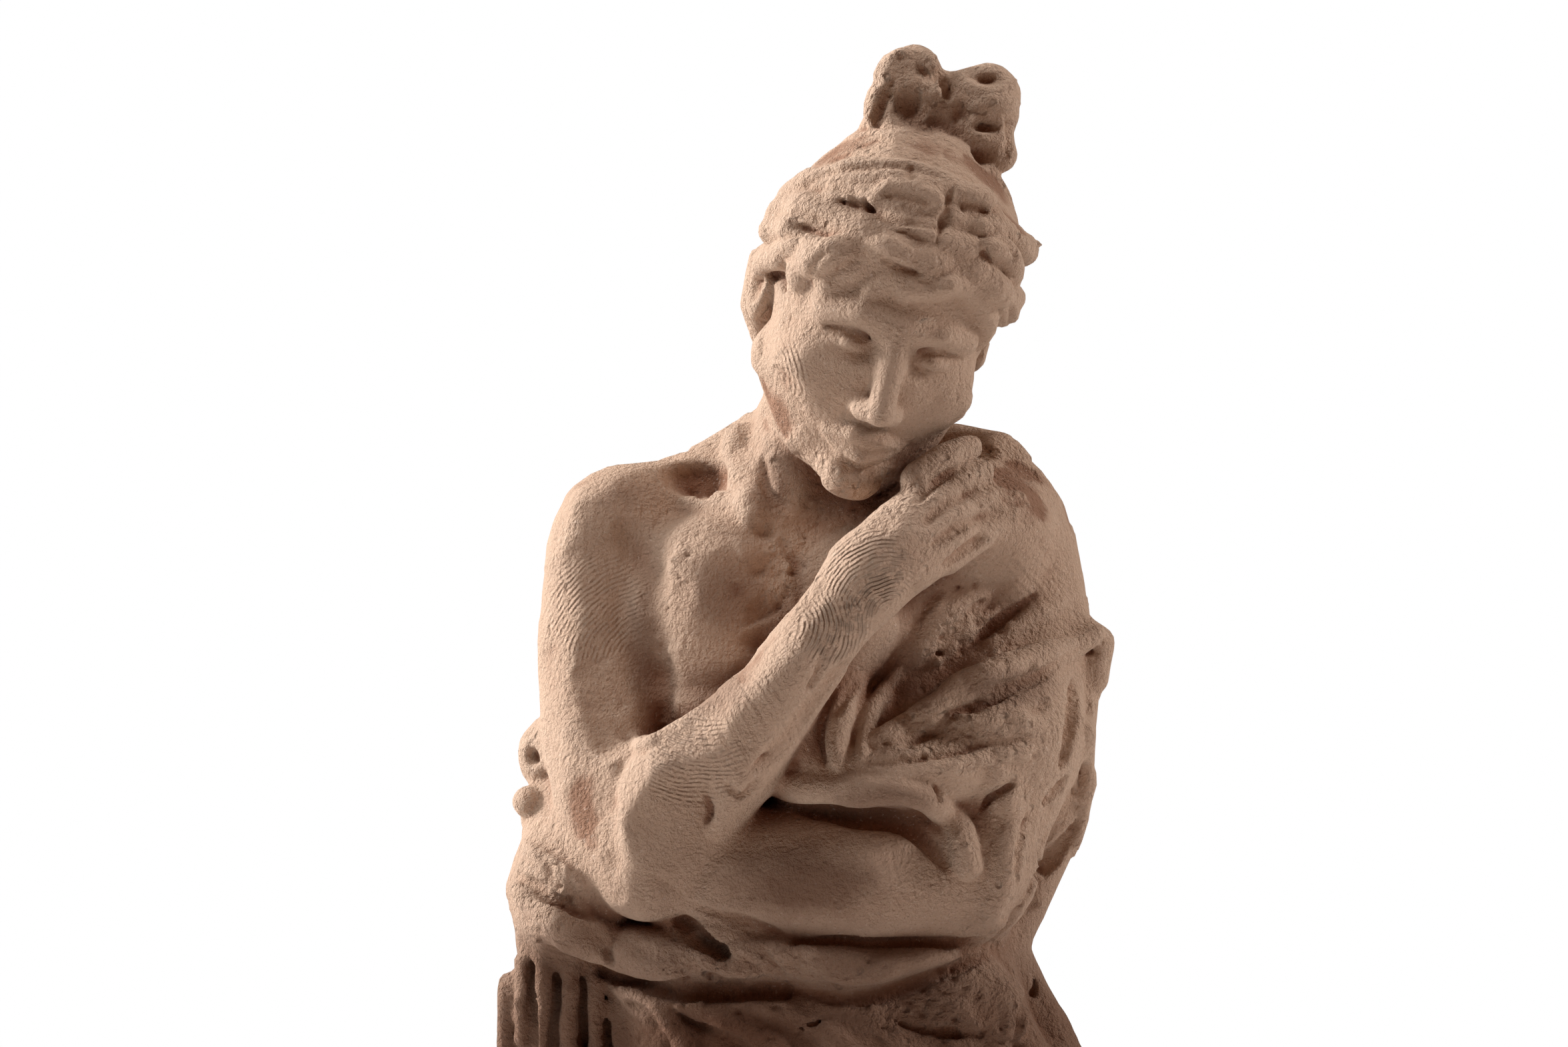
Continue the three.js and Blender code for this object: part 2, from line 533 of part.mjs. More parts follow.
function hair() {
	press(headEgg(0, 3.4, 8.2, 16.2, 18.8, 16.4), 1);
	for (const { height, tilt, width, depth, radius, locks, from } of COILS) {
		for (let i = 0; i < locks; i++) {
			const start = from + (i * 2 * Math.PI) / locks;
			const stops = [-0.5, 0, 0.5].map((share) => {
				const turn = start + (share * 2 * Math.PI * 0.94) / locks;
				const lift = height + tilt * -Math.sin(turn) + 1.2 * share;
				return [width * Math.cos(turn), 3 + depth * Math.sin(turn), lift];
			});
			press(headRoll(stops, [0.75 * radius, radius, 0.8 * radius]), 0.8);
		}
	}
	// Locks that fall in front of the left ear and behind both
	press(headRoll([[12, -9.5, 4], [14.6, -6, -1], [14.2, -4.5, -7]], [2.4, 2.4, 1.8]), 0.8);
	press(headRoll([[15.6, 3, 3], [16.6, 4, -3], [15.6, 4, -8]], [2.8, 3, 2.4]), 1.2);
	press(headRoll([[-13, 9, 0], [-12.4, 10, -6], [-10, 9.6, -11]], [3, 2.8, 2]), 1.5);
	press(headRoll([[13, 9, 0], [12.4, 10, -6], [10, 9.6, -11]], [3, 2.8, 2]), 1.5);
	press(headRoll([[-8, 14.5, 0], [0, 17, -3], [8, 14.5, 0]], [5, 6, 5]), 3);
}

// The knot on the crown: two clumps of loops with pockets thumbed between them
function knot() {
	const on = (x, z, y) => grown(seen(x, z, y));
	const clump = (places, radii, blend) => press(roll(places, radii.map((r) => r * HEAD_GROWTH)), blend);
	const pocket = (place, rx, ry, rz) =>
		scrape(egg(place, rx * HEAD_GROWTH, ry * HEAD_GROWTH, rz * HEAD_GROWTH), 0.4);
	clump([on(13.6, 301, -11), on(14.8, 305.4, -11), on(15.8, 308.6, -11)], [5, 4.6, 3.6], 1);
	clump([on(24, 300.6, -10), on(25.4, 303.2, -10), on(25.8, 305.2, -10)], [4.6, 4.6, 4.4], 1);
	clump([on(17, 303.4, -9), on(22, 303.4, -9)], [5.2, 5.2], 1.5);
	clump([on(26, 299.8, -10), on(27.4, 297.4, -11)], [3.4, 2.4], 0.8);
	pocket(on(15.5, 304.2, -17), 2.6, 3.4, 2.7);
	pocket(on(20, 308, -12), 1.6, 3.6, 3);
	pocket(on(22.2, 303.2, -15.6), 1.9, 2.6, 2.5);
	pocket(on(26, 307.7, -14.6), 2, 2.4, 1.2);
	pocket(on(26, 300.8, -14.8), 2.3, 2.2, 1.2);
}

function figure() {
	skirt();
	torso();
	leftArm();
	leftHand();
	cloak();
	overfold();
	rightArm();
	rightHand();
	face();
	hair();
	knot();
	feet();
}

// Net: quads round the grid edges that cross the skin, one corner in each cell that the skin runs through

const meshAt = (key, z) => {
	const i = Math.max(MESH.findIndex((stop) => stop.z > Math.min(z, MESH.at(-1).z - 1e-6)), 1);
	const t = clamp((z - MESH[i - 1].z) / (MESH[i].z - MESH[i - 1].z), 0, 1);
	return lerp(MESH[i - 1][key], MESH[i][key], t);
};

function gridLevels() {
	const levels = [];
	for (let z = MESH[0].z; z < MESH.at(-1).z; z += meshAt('step', z)) {
		const middle = AXIS.find((p) => p.z >= z);
		levels.push({ z, x: middle.x, y: middle.y, across: meshAt('across', z) });
	}
	return levels;
}

const CORNERS = Array.from({ length: 8 }, (_, c) => [c & 1, (c >> 1) & 1, (c >> 2) & 1]);
const FACES = [0, 1, 2].flatMap((axis) =>
	[0, 1].map((side) => {
		const u = 1 << (axis + 1) % 3;
		const v = 1 << (axis + 2) % 3;
		return [side << axis, (side << axis) | u, (side << axis) | u | v, (side << axis) | v];
	}),
);
const FILLED = -0.05;

// Where skins would touch along an edge or at a corner of the grid, the space between them is filled
function fillDoubtful(values, cellCorners, cells) {
	for (let changed = true; changed; ) {
		changed = false;
		for (const cell of cells) {
			const at = cellCorners(cell);
			for (const face of FACES) {
				const [a, b, c, d] = face.map((corner) => values[at[corner]] < 0);
				if (a === c && b === d && a !== b) {
					for (const corner of face) values[at[corner]] = Math.min(values[at[corner]], FILLED);
					changed = true;
				}
			}
			const inside = at.filter((index) => values[index] < 0);
			const odd = inside.length === 2 ? inside : at.filter((index) => values[index] >= 0);
			if (odd.length === 2 && at.indexOf(odd[0]) + at.indexOf(odd[1]) === 7) {
				for (const index of at) values[index] = Math.min(values[index], FILLED);
				changed = true;
			}
		}
	}
}

// Clay has no bubbles: empty points that cannot be reached from outside are filled
function fillBubbles(values, strides) {
	const reached = new Uint8Array(values.length);
	const waiting = [0];
	reached[0] = 1;
	while (waiting.length > 0) {
		const here = waiting.pop();
		for (const step of strides.flatMap((stride) => [stride, -stride])) {
			const next = here + step;
			if (values[next] >= 0 && !reached[next]) {
				reached[next] = 1;
				waiting.push(next);
			}
		}
	}
	for (let n = 0; n < values.length; n++) if (!reached[n]) values[n] = Math.min(values[n], FILLED);
}

// Moves a net corner on to the skin, by no more than a share of the mesh
function settle(p, across) {
	const reach = 0.05;
	for (let pass = 0; pass < 3; pass++) {
		const gap = clay(p.x, p.y, p.z);
		const slope = point(
			clay(p.x + reach, p.y, p.z) - clay(p.x - reach, p.y, p.z),
			clay(p.x, p.y + reach, p.z) - clay(p.x, p.y - reach, p.z),
			clay(p.x, p.y, p.z + reach) - clay(p.x, p.y, p.z - reach),
		);
		if (slope.lengthSq() > 1e-9) p.addScaledVector(slope.normalize(), -clamp(gap, -0.12 * across, 0.12 * across));
	}
	return p;
}

function net() {
	const levels = gridLevels();
	const [nx, ny, nz] = [MESH_COLUMNS, MESH_ROWS, levels.length];
	const index = (i, j, k) => (k * ny + j) * nx + i;
	const place = (i, j, k) => {
		const { x, y, z, across } = levels[k];
		return point(x + (i - (nx - 1) / 2) * across, y + (j - (ny - 1) / 2) * across, z);
	};
	const places = [];
	const cells = [];
	for (let k = 0; k < nz; k++) {
		for (let j = 0; j < ny; j++) {
			for (let i = 0; i < nx; i++) {
				places.push(place(i, j, k));
				if (i < nx - 1 && j < ny - 1 && k < nz - 1) cells.push([i, j, k]);
			}
		}
	}
	// The outermost points are kept empty, so that the net always closes
	const values = places.map((p, n) => {
		const [i, j, k] = [n % nx, Math.floor(n / nx) % ny, Math.floor(n / nx / ny)];
		const rim = i === 0 || j === 0 || k === 0 || i === nx - 1 || j === ny - 1 || k === nz - 1;
		return rim ? 1 : clay(p.x, p.y, p.z);
	});
	const cellCorners = ([i, j, k]) => CORNERS.map(([di, dj, dk]) => index(i + di, j + dj, k + dk));
	fillDoubtful(values, cellCorners, cells);
	const strides = [1, nx, nx * ny];
	fillBubbles(values, strides);

	const vertices = [];
	const vertexOf = new Map();
	for (const cell of cells) {
		const at = cellCorners(cell);
		const crossings = [];
		for (let a = 0; a < 8; a++) {
			for (const bit of [1, 2, 4]) {
				const b = a | bit;
				const [from, to] = [values[at[a]], values[at[b]]];
				if (a !== b && from < 0 !== to < 0) {
					crossings.push(places[at[a]].clone().lerp(places[at[b]], from / (from - to)));
				}
			}
		}
		if (crossings.length === 0) continue;
		const middle = crossings.reduce((sum, p) => sum.add(p), point(0, 0, 0)).divideScalar(crossings.length);
		vertexOf.set(at[0], vertices.length);
		vertices.push(cell[2] === 0 ? middle : settle(middle, levels[cell[2]].across));
	}

	const triangles = [];
	for (const cell of cells) {
		const here = index(...cell);
		for (let axis = 0; axis < 3; axis++) {
			const [u, v] = [(axis + 1) % 3, (axis + 2) % 3];
			if (cell[u] === 0 || cell[v] === 0) continue;
			const [low, high] = [values[here] < 0, values[here + strides[axis]] < 0];
			if (low === high) continue;
			const [su, sv] = [strides[u], strides[v]];
			const ring = [here, here - su, here - su - sv, here - sv].map((n) => vertexOf.get(n));
			if (!low) ring.reverse();
			const [a, b, c, d] = ring.map((n) => vertices[n]);
			const split = a.distanceTo(c) < b.distanceTo(d) ? [0, 1, 2, 0, 2, 3] : [0, 1, 3, 1, 2, 3];
			triangles.push(...split.map((corner) => ring[corner]));
		}
	}
	const geometry = new THREE.BufferGeometry().setFromPoints(vertices);
	geometry.setIndex(triangles);
	return geometry.scale(SCALE, SCALE, SCALE).translate(0, 0, BASE_THICKNESS);
}

// Base: a low slab with rounded upper edges

function slab() {
	const edgeSteps = 4;
	const ring = (inset, z) =>
		Array.from({ length: BASE_SIDES }, (_, i) => {
			const turn = (2 * Math.PI * i) / BASE_SIDES;
			const bulge = (value) => Math.sign(value) * Math.abs(value) ** (2 / BASE_SQUARENESS);
			return point(
				(BASE_WIDTH / 2 - inset) * bulge(Math.cos(turn)),
				(BASE_DEPTH / 2 - inset) * bulge(Math.sin(turn)),
				z,
			);
		});
	const rings = [ring(0, 0)];
	for (let i = 0; i <= edgeSteps; i++) {
		const bend = (Math.PI / 2) * (i / edgeSteps);
		const inset = BASE_EDGE_RADIUS * (1 - Math.cos(bend));
		rings.push(ring(inset, BASE_THICKNESS - BASE_EDGE_RADIUS * (1 - Math.sin(bend))));
	}
	return new LoftGeometry(rings, { capStart: true, capEnd: true });
}

// Joining

function toSolid(geometry) {
	const bare = new THREE.BufferGeometry();
	bare.setAttribute('position', geometry.getAttribute('position'));
	bare.setIndex(geometry.getIndex());
	const merged = mergeVertices(bare, 1e-4);
	const vertProperties = new Float32Array(merged.getAttribute('position').array);
	const triVerts = new Uint32Array(merged.getIndex().array);
	return new wasm.Manifold(new wasm.Mesh({ numProp: 3, vertProperties, triVerts }));
}

function fromSolid(manifold) {
	const { vertProperties, triVerts } = manifold.getMesh();
	const geometry = new THREE.BufferGeometry();
	geometry.setAttribute('position', new THREE.BufferAttribute(vertProperties, 3));
	geometry.setIndex(new THREE.BufferAttribute(triVerts, 1));
	geometry.computeVertexNormals();
	return geometry;
}

function terracotta() {
	return new THREE.MeshStandardMaterial({ color: 0xb48c74, roughness: 0.85, metalness: 0 });
}

figure();
const solid = new THREE.Mesh(fromSolid(toSolid(net()).add(toSolid(slab()))), terracotta());
solid.name = 'figure';

const group = new THREE.Group();
group.add(solid);
export default group;
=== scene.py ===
"""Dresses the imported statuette: a terracotta sketch of a standing draped figure on a low base.

The clay is modelled as a sculptor would: rolls and balls are pressed on a block of voxels and blended,
hollows are scraped out, and folds, locks and tool marks are laid on whatever is already there. The skin
of the block becomes the mesh that stands for the solid of the frame.

Forms are drawn in millimetres on a figure that stands on z = 0, x to the figure's left and y backwards.
Places on the front are given as the photograph shows them: x and z on the upright plane through the
middle of the figure, seen from the camera.
"""

import logging
from collections.abc import Iterator
from dataclasses import dataclass, field
from enum import Enum

import bmesh
import bpy
import numpy as np
import openvdb
from mathutils import Matrix, Vector
from mathutils.kdtree import KDTree


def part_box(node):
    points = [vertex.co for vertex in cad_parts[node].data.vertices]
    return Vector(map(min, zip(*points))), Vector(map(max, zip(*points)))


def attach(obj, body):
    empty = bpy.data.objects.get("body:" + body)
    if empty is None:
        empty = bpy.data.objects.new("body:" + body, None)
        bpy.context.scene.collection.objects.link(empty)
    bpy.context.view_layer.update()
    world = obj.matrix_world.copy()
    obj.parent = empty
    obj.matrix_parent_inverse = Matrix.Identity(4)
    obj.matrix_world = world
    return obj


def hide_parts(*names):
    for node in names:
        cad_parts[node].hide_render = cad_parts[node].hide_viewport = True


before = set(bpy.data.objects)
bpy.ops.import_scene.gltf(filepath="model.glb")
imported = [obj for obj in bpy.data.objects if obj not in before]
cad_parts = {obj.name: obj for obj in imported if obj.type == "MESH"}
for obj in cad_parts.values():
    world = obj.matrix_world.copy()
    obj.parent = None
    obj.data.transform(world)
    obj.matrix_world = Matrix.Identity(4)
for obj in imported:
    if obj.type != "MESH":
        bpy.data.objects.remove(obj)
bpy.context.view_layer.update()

log = logging.getLogger("statuette")

MM = 0.001
BODY = "root"
NODE = "figure"
PIECE = "statuette"

BASE_THICKNESS = 14.0
DRAWN_TOP = 310.8
EYE = np.array([-1.6, -704.0, 247.7])

Point = tuple[float, float, float]
Stops = list[tuple[float, float]]
Rows = tuple[tuple[Stops, float, float], ...]


def seen(x: float, z: float, y: float) -> Point:
    """Gives the place at depth y that the camera sees at x and z of the picture plane."""
    share = (y - EYE[1]) / -EYE[1]
    return tuple(EYE + (np.array([x, 0.0, z]) - EYE) * share)


def smooth_line(stops: np.ndarray, count: int) -> np.ndarray:
    """Runs a Catmull-Rom curve through stops.

    Args:
        stops: One row per stop, of any width.
        count: How many points to return.

    Returns:
        The points, evenly shared out between the stops, both ends included.
    """
    padded = np.vstack([2 * stops[0] - stops[1], stops, 2 * stops[-1] - stops[-2]])
    along = np.linspace(0, len(stops) - 1, count)
    first = np.minimum(along.astype(int), len(stops) - 2)
    t = (along - first)[:, None]
    a, b, c, d = (padded[first + k] for k in range(4))
    return 0.5 * (2 * b + (c - a) * t + (2 * a - 5 * b + 4 * c - d) * t**2 + (3 * b - a - 3 * c + d) * t**3)


def smoothstep(values: np.ndarray, low: float, high: float) -> np.ndarray:
    """Rises smoothly from 0 at low to 1 at high."""
    t = np.clip((values - low) / (high - low), 0, 1)
    return t * t * (3 - 2 * t)


def fillet(gap: np.ndarray, blend: float) -> np.ndarray:
    """Gives how far a smooth joint of two skins stands off the sharp one.

    Args:
        gap: Difference of the two distances.
        blend: Width over which the skins run together.

    Returns:
        The extra depth of clay in the joint.
    """
    if blend <= 0:
        return np.zeros_like(gap)
    return np.square(np.maximum(blend - np.abs(gap), 0)) / (4 * blend)


def corner_weights(t: np.ndarray) -> Iterator[tuple[np.ndarray, np.ndarray]]:
    """Gives each corner of a cell, and the weight it has at places inside the cell.

    Args:
        t: The place inside the cell along each axis, between 0 and 1, one row per place.

    Yields:
        For each of the eight corners its steps along the axes, and one weight per place.
    """
    for n in range(8):
        bits = np.array([n & 1, n >> 1 & 1, n >> 2 & 1])
        yield bits, np.prod(np.where(bits, t, 1 - t), axis=1)


@dataclass(frozen=True)
class Egg:
    """An ellipsoid with radii along its own axes, the columns of turn."""

    centre: Point
    radii: Point
    turn: np.ndarray = field(default_factory=lambda: np.eye(3))

    def bounds(self) -> tuple[np.ndarray, np.ndarray]:
        """Gives its lowest and highest corner."""
        reach = np.sqrt(((self.turn * np.array(self.radii)) ** 2).sum(1))
        return np.array(self.centre) - reach, np.array(self.centre) + reach

    def gap(self, xs: np.ndarray, ys: np.ndarray, zs: np.ndarray, margin: float) -> np.ndarray:
        """Gives the distance to its skin on the grid of three axes, below zero inside."""
        dx = (xs - self.centre[0]).astype(np.float32)[:, None, None]
        dy = (ys - self.centre[1]).astype(np.float32)[None, :, None]
        dz = (zs - self.centre[2]).astype(np.float32)[None, None, :]
        m = self.turn.astype(np.float32)
        reach, slope = np.float32(0), np.float32(0)
        for k, radius in enumerate(self.radii):
            own = (m[0, k] * dx + m[1, k] * dy + m[2, k] * dz) / np.float32(radius)
            reach = reach + own * own
            slope = slope + np.square(own / np.float32(radius))
        reach = np.sqrt(reach)
        return reach * (reach - 1) / np.maximum(np.sqrt(slope), 1e-6)


@dataclass(frozen=True)
class Roll:
    """A roll of clay along points, its radius running evenly from point to point."""

    points: list[Point]
    radii: list[float]

    def bounds(self) -> tuple[np.ndarray, np.ndarray]:
        """Gives its lowest and highest corner."""
        reach = max(self.radii)
        places = np.array(self.points)
        return places.min(0) - reach, places.max(0) + reach

    def gap(self, xs: np.ndarray, ys: np.ndarray, zs: np.ndarray, margin: float) -> np.ndarray:
        """Gives the distance to its skin on the grid of three axes, below zero inside."""
        nearest = np.full((len(xs), len(ys), len(zs)), margin, np.float32)
        places = np.array(self.points, float)
        for a, b, ra, rb in zip(places, places[1:], self.radii, self.radii[1:]):
            reach = max(ra, rb) + margin
            low, high = np.minimum(a, b) - reach, np.maximum(a, b) + reach
            near = tuple(
                slice(*np.searchsorted(axis, (low[n], high[n]))) for n, axis in enumerate((xs, ys, zs))
            )
            if any(part.start >= part.stop for part in near):
                continue
            dx = (xs[near[0]] - a[0]).astype(np.float32)[:, None, None]
            dy = (ys[near[1]] - a[1]).astype(np.float32)[None, :, None]
            dz = (zs[near[2]] - a[2]).astype(np.float32)[None, None, :]
            way = (b - a).astype(np.float32)
            length = max(float(way @ way), 1e-9)
            t = np.clip((dx * way[0] + dy * way[1] + dz * way[2]) / length, 0, 1)
            off = np.sqrt((dx - t * way[0]) ** 2 + (dy - t * way[1]) ** 2 + (dz - t * way[2]) ** 2)
            nearest[near] = np.minimum(nearest[near], off - (ra + (rb - ra) * t))
        return nearest


def seen_roll(stops: list[Point], radii: list[float]) -> Roll:
    """Makes a roll from stops given as x and z of the picture plane and depth."""
    return Roll([seen(*stop) for stop in stops], radii)


class Side(Enum):
    """Where a stroke is drawn from."""

    FRONT = "front"
    BACK = "back"
    AROUND = "around"


class Clay:
    """A block of voxels, each holding the distance to the skin in drawn millimetres."""

    START = 75.0
    SAMPLES = 500
    EMPTY = 6.0
    BEYOND = 1.5
    SEED = 5
    SWAY = 0.22
    SWELL = 0.14

    def __init__(self, low: Point, high: Point, step: float) -> None:
        """Starts with empty space.

        Args:
            low: Lowest corner of the block.
            high: Highest corner of the block.
            step: Size of a voxel.
        """
        self.low = np.array(low, float)
        self.step = step
        self.axes = [np.arange(a, b, step) for a, b in zip(low, high)]
        self.field = np.full([len(axis) for axis in self.axes], self.EMPTY, np.float32)
        self.rng = np.random.default_rng(self.SEED)

    def window(self, form: object, margin: float) -> tuple[tuple[slice, ...], list[np.ndarray]]:
        """Finds the voxels that a form can change.

        Args:
            form: The form, with its bounds.
            margin: How far beyond its bounds it still has an effect.

        Returns:
            The slices of the block, and the parts of the axes that they cover.
        """
        low, high = form.bounds()
        parts = tuple(
            slice(*np.searchsorted(axis, (low[n] - margin, high[n] + margin)))
            for n, axis in enumerate(self.axes)
        )
        return parts, [axis[part] for axis, part in zip(self.axes, parts)]

    def press(self, form: object, blend: float) -> None:
        """Adds a form, run into the clay over the width of the blend."""
        margin = blend + self.BEYOND
        parts, axes = self.window(form, margin)
        if all(len(axis) for axis in axes):
            here, other = self.field[parts], form.gap(*axes, margin)
            self.field[parts] = np.minimum(here, other) - fillet(here - other, blend)

    def scrape(self, form: object, blend: float) -> None:
        """Takes a form away, with its edge rounded over the width of the blend."""
        margin = blend + self.BEYOND
        parts, axes = self.window(form, margin)
        if all(len(axis) for axis in axes):
            here, other = self.field[parts], -form.gap(*axes, margin)
            self.field[parts] = np.maximum(here, other) + fillet(here - other, blend)

    def sample(self, places: np.ndarray) -> np.ndarray:
        """Reads the distance at any places, between voxels too."""
        at = (places - self.low) / self.step
        first = np.clip(at.astype(int), 0, np.array(self.field.shape) - 2)
        total = np.zeros(len(places))
        for bits, weight in corner_weights(np.clip(at - first, 0, 1)):
            total += weight * self.field[tuple((first + bits).T)]
        return total

    def slope(self, places: np.ndarray) -> np.ndarray:
        """Gives the way out of the clay at any places, one unit vector each."""
        nudges = np.eye(3) * self.step
        ways = np.stack([self.sample(places + way) - self.sample(places - way) for way in nudges], axis=1)
        return ways / np.maximum(np.linalg.norm(ways, axis=1, keepdims=True), 1e-9)

    def meet(self, starts: np.ndarray, ways: np.ndarray) -> tuple[np.ndarray, np.ndarray]:
        """Finds where straight ways first meet the clay.

        Args:
            starts: Where each begins.
            ways: Unit vectors.

        Returns:
            The places met, and which of the ways met the clay at all.
        """
        gone = np.linspace(0, self.START, self.SAMPLES)
        lines = starts[:, None, :] + gone[None, :, None] * ways[:, None, :]
        values = self.sample(lines.reshape(-1, 3)).reshape(len(starts), -1)
        hit = np.argmax(values < 0, axis=1)
        found = hit > 0
        hit = np.maximum(hit, 1)
        rows = np.arange(len(starts))
        before, after = values[rows, hit - 1], values[rows, hit]
        share = before / np.where(np.abs(before - after) < 1e-9, 1, before - after)
        return starts + ways * (gone[hit - 1] + share * gone[1])[:, None], found

    def aims(self, given: np.ndarray, side: Side) -> tuple[np.ndarray, np.ndarray]:
        """Turns stops of a stroke into starts and unit vectors that point at the clay."""
        across, heights = given.T
        if side is Side.AROUND:
            turn = np.radians(across)
            ways = np.stack([-np.sin(turn), np.cos(turn), 0 * turn], axis=1)
            return -self.START * ways + np.stack([0 * across, 0 * across, heights], axis=1), ways
        eye = EYE * (1, 1 if side is Side.FRONT else -1, 1)
        ways = np.stack([across, 0 * across, heights], axis=1) - eye
        starts = eye + ways * (1 - self.START / -EYE[1])
        return starts, ways / np.linalg.norm(ways, axis=1, keepdims=True)

    def stroke(
        self, stops: Stops, radius: float, lift: float = 0.0, side: Side = Side.FRONT, taper: float = 0.45
    ) -> Roll | None:
        """Lays a roll on the skin along smoothed stops, thinner at both ends.

        Args:
            stops: x and z as seen, or degrees and z right round, 0 at the front and 90 at the left side.
            radius: Largest radius.
            lift: How far its middle line stands out of the skin.
            side: Where it is drawn from.
            taper: Radius at the ends, as a share of the largest.

        Returns:
            The roll, or None where it misses the clay.
        """
        given = np.array(stops, float)
        span = 4.0 if side is Side.AROUND else 1.2
        count = max(6, int(np.abs(np.diff(given, axis=0)).sum() / span))
        line = smooth_line(given, count) + self.SWAY * self.unsteady(count, 3)[:, None]
        starts, ways = self.aims(line, side)
        places, found = self.meet(starts, ways)
        if found.sum() < 2:
            return None
        t = np.linspace(0, 1, count)
        shares = taper + (1 - taper) * np.sqrt(4 * t * (1 - t))
        shares = shares * (1 + self.SWELL * self.unsteady(count, 2))
        places = places - lift * shares[:, None] * ways
        return Roll([tuple(p) for p in places[found]], [float(r) for r in radius * shares[found]])

    def unsteady(self, count: int, span: int) -> np.ndarray:
        """Gives the wavering of a hand along a stroke, from -1 to 1, a new value every few steps."""
        knots = self.rng.uniform(-1, 1, count // span + 4)
        return np.interp(np.arange(count) / span + self.rng.uniform(), np.arange(len(knots)), knots)

    def ridge(self, stops: Stops, radius: float, lift: float = 0, blend: float = 2, **how: object) -> None:
        """Presses a stroke on."""
        roll = self.stroke(stops, radius, lift, **how)
        if roll:
            self.press(roll, blend)

    def groove(self, stops: Stops, radius: float, lift: float = 0, blend: float = 1.5, **how: object) -> None:
        """Scrapes a stroke out."""
        roll = self.stroke(stops, radius, lift, **how)
        if roll:
            self.scrape(roll, blend)

    def band(self, stops: Stops, width: float, height: float, blend: float = 0.4, **how: object) -> None:
        """Presses on a flattened strip, as wide and as high as given, that fades out at both ends."""
        radius = self.arc(width, height)
        self.ridge(stops, radius, height - radius, blend, **{"taper": 0.3, **how})

    def cut(self, stops: Stops, width: float, depth: float, blend: float = 0.2, **how: object) -> None:
        """Cuts a furrow, as wide and as deep as given, that fades out at both ends."""
        radius = self.arc(width, depth)
        self.groove(stops, radius, radius - depth, blend, **{"taper": 0.3, **how})

    def arc(self, width: float, height: float) -> float:
        """Gives the radius of the arc that is as wide and as high as given."""
        return (height**2 + width**2 / 4) / (2 * height)

    def bands(self, rows: Rows, **how: object) -> None:
        """Presses on a strip for each row of stops, width and height."""
        for stops, width, height in rows:
            self.band(stops, width, height, **how)

    def cuts(self, rows: Rows, **how: object) -> None:
        """Cuts a furrow for each row of stops, width and depth."""
        for stops, width, depth in rows:
            self.cut(stops, width, depth, **how)


@dataclass
class Torso:
    """Trunk and neck, of which the right half of the chest is bare."""

    neck_radius: float = 10.0
    collar_radius: float = 1.8

    def model(self, clay: Clay) -> None:
        """Builds up the trunk."""
        clay.press(Egg((3, 3, 222), (26, 16.5, 35)), 0)
        clay.press(Egg((0, 1, 190), (28, 19, 28)), 8)
        clay.press(Roll([(-21, 3, 242), (3, 4, 245), (27, 3, 242)], [9.5, 11, 9.5]), 6)
        neck = self.neck_radius
        clay.press(Roll([(1, 5, 242), (3.2, 1, 256), (7, -3, 268)], [1.25 * neck, neck, neck]), 4)
        clay.press(Roll([(-3, 6, 257.6), (-12, 5, 252.8), (-22, 3, 249.6)], [6, 5.8, 5.8]), 4)
        clay.press(Roll([(6, 8, 258), (16, 6, 252), (27, 3, 249)], [6.5, 6, 6]), 5)
        clay.press(Egg((-10, -8, 236), (13, 8.5, 13)), 4)
        clay.press(Egg(seen(-9, 225, -11), (10, 7, 8)), 4)
        clay.press(Egg((11, -9, 236), (13, 8, 12)), 4)
        self.collar(clay)
        self.chest(clay)

    def collar(self, clay: Clay) -> None:
        """Adds the collar bone, the cord of the neck and the hollows between them."""
        r = self.collar_radius
        clay.ridge([(-3, 247.5), (-9, 249.8), (-14, 251), (-20, 253.5)], r, lift=0.3, blend=1.2)
        clay.ridge([(-5.5, 248), (-6.8, 254), (-7.6, 259), (-6.5, 264)], 1.4 * r, lift=0.3, blend=1.2)
        clay.press(Roll([(-2, -8, 246), (-1, -5, 256), (2, -6, 266)], [4, 4.6, 5]), 3)
        clay.scrape(Egg(seen(-14, 254.2, -3.5), (4.8, 4.6, 2.9)), 0.8)
        clay.cut([(-10.5, 252.6), (-12.5, 251.8), (-16.5, 253.6)], 1.6, 1.2)
        clay.scrape(Egg(seen(2.6, 248.3, -15), (4.2, 4.5, 2.8)), 1.5)
        clay.cut([(-4.5, 257), (-3.6, 252), (-0.5, 248.6)], 1.8, 1.0)

    def chest(self, clay: Clay) -> None:
        """Marks the lower edge of the chest muscle and the breast bone."""
        clay.cut([(-19, 227.5), (-15, 225.6), (-10, 226), (-6, 229)], 3.0, 1.0, blend=1)
        clay.groove([(-4.5, 246), (-4.6, 240), (-5, 234), (-4, 230)], 1.6, lift=0.9, blend=2)
        clay.groove([(-19.6, 242), (-19.4, 236), (-19, 229), (-18.4, 222)], 2.0, lift=0.9, blend=2)
        for height in (234, 238.6, 243):
            clay.band([(-13, height), (-8, height - 0.4), (-3, height + 0.6)], 3.4, 0.5)
        clay.cut([(-2, 246), (0.5, 241), (0, 236.6)], 1.6, 0.8)
        clay.cut([(-9.5, 233.4), (-6, 234.4), (-1.5, 236.6)], 1.2, 0.6)


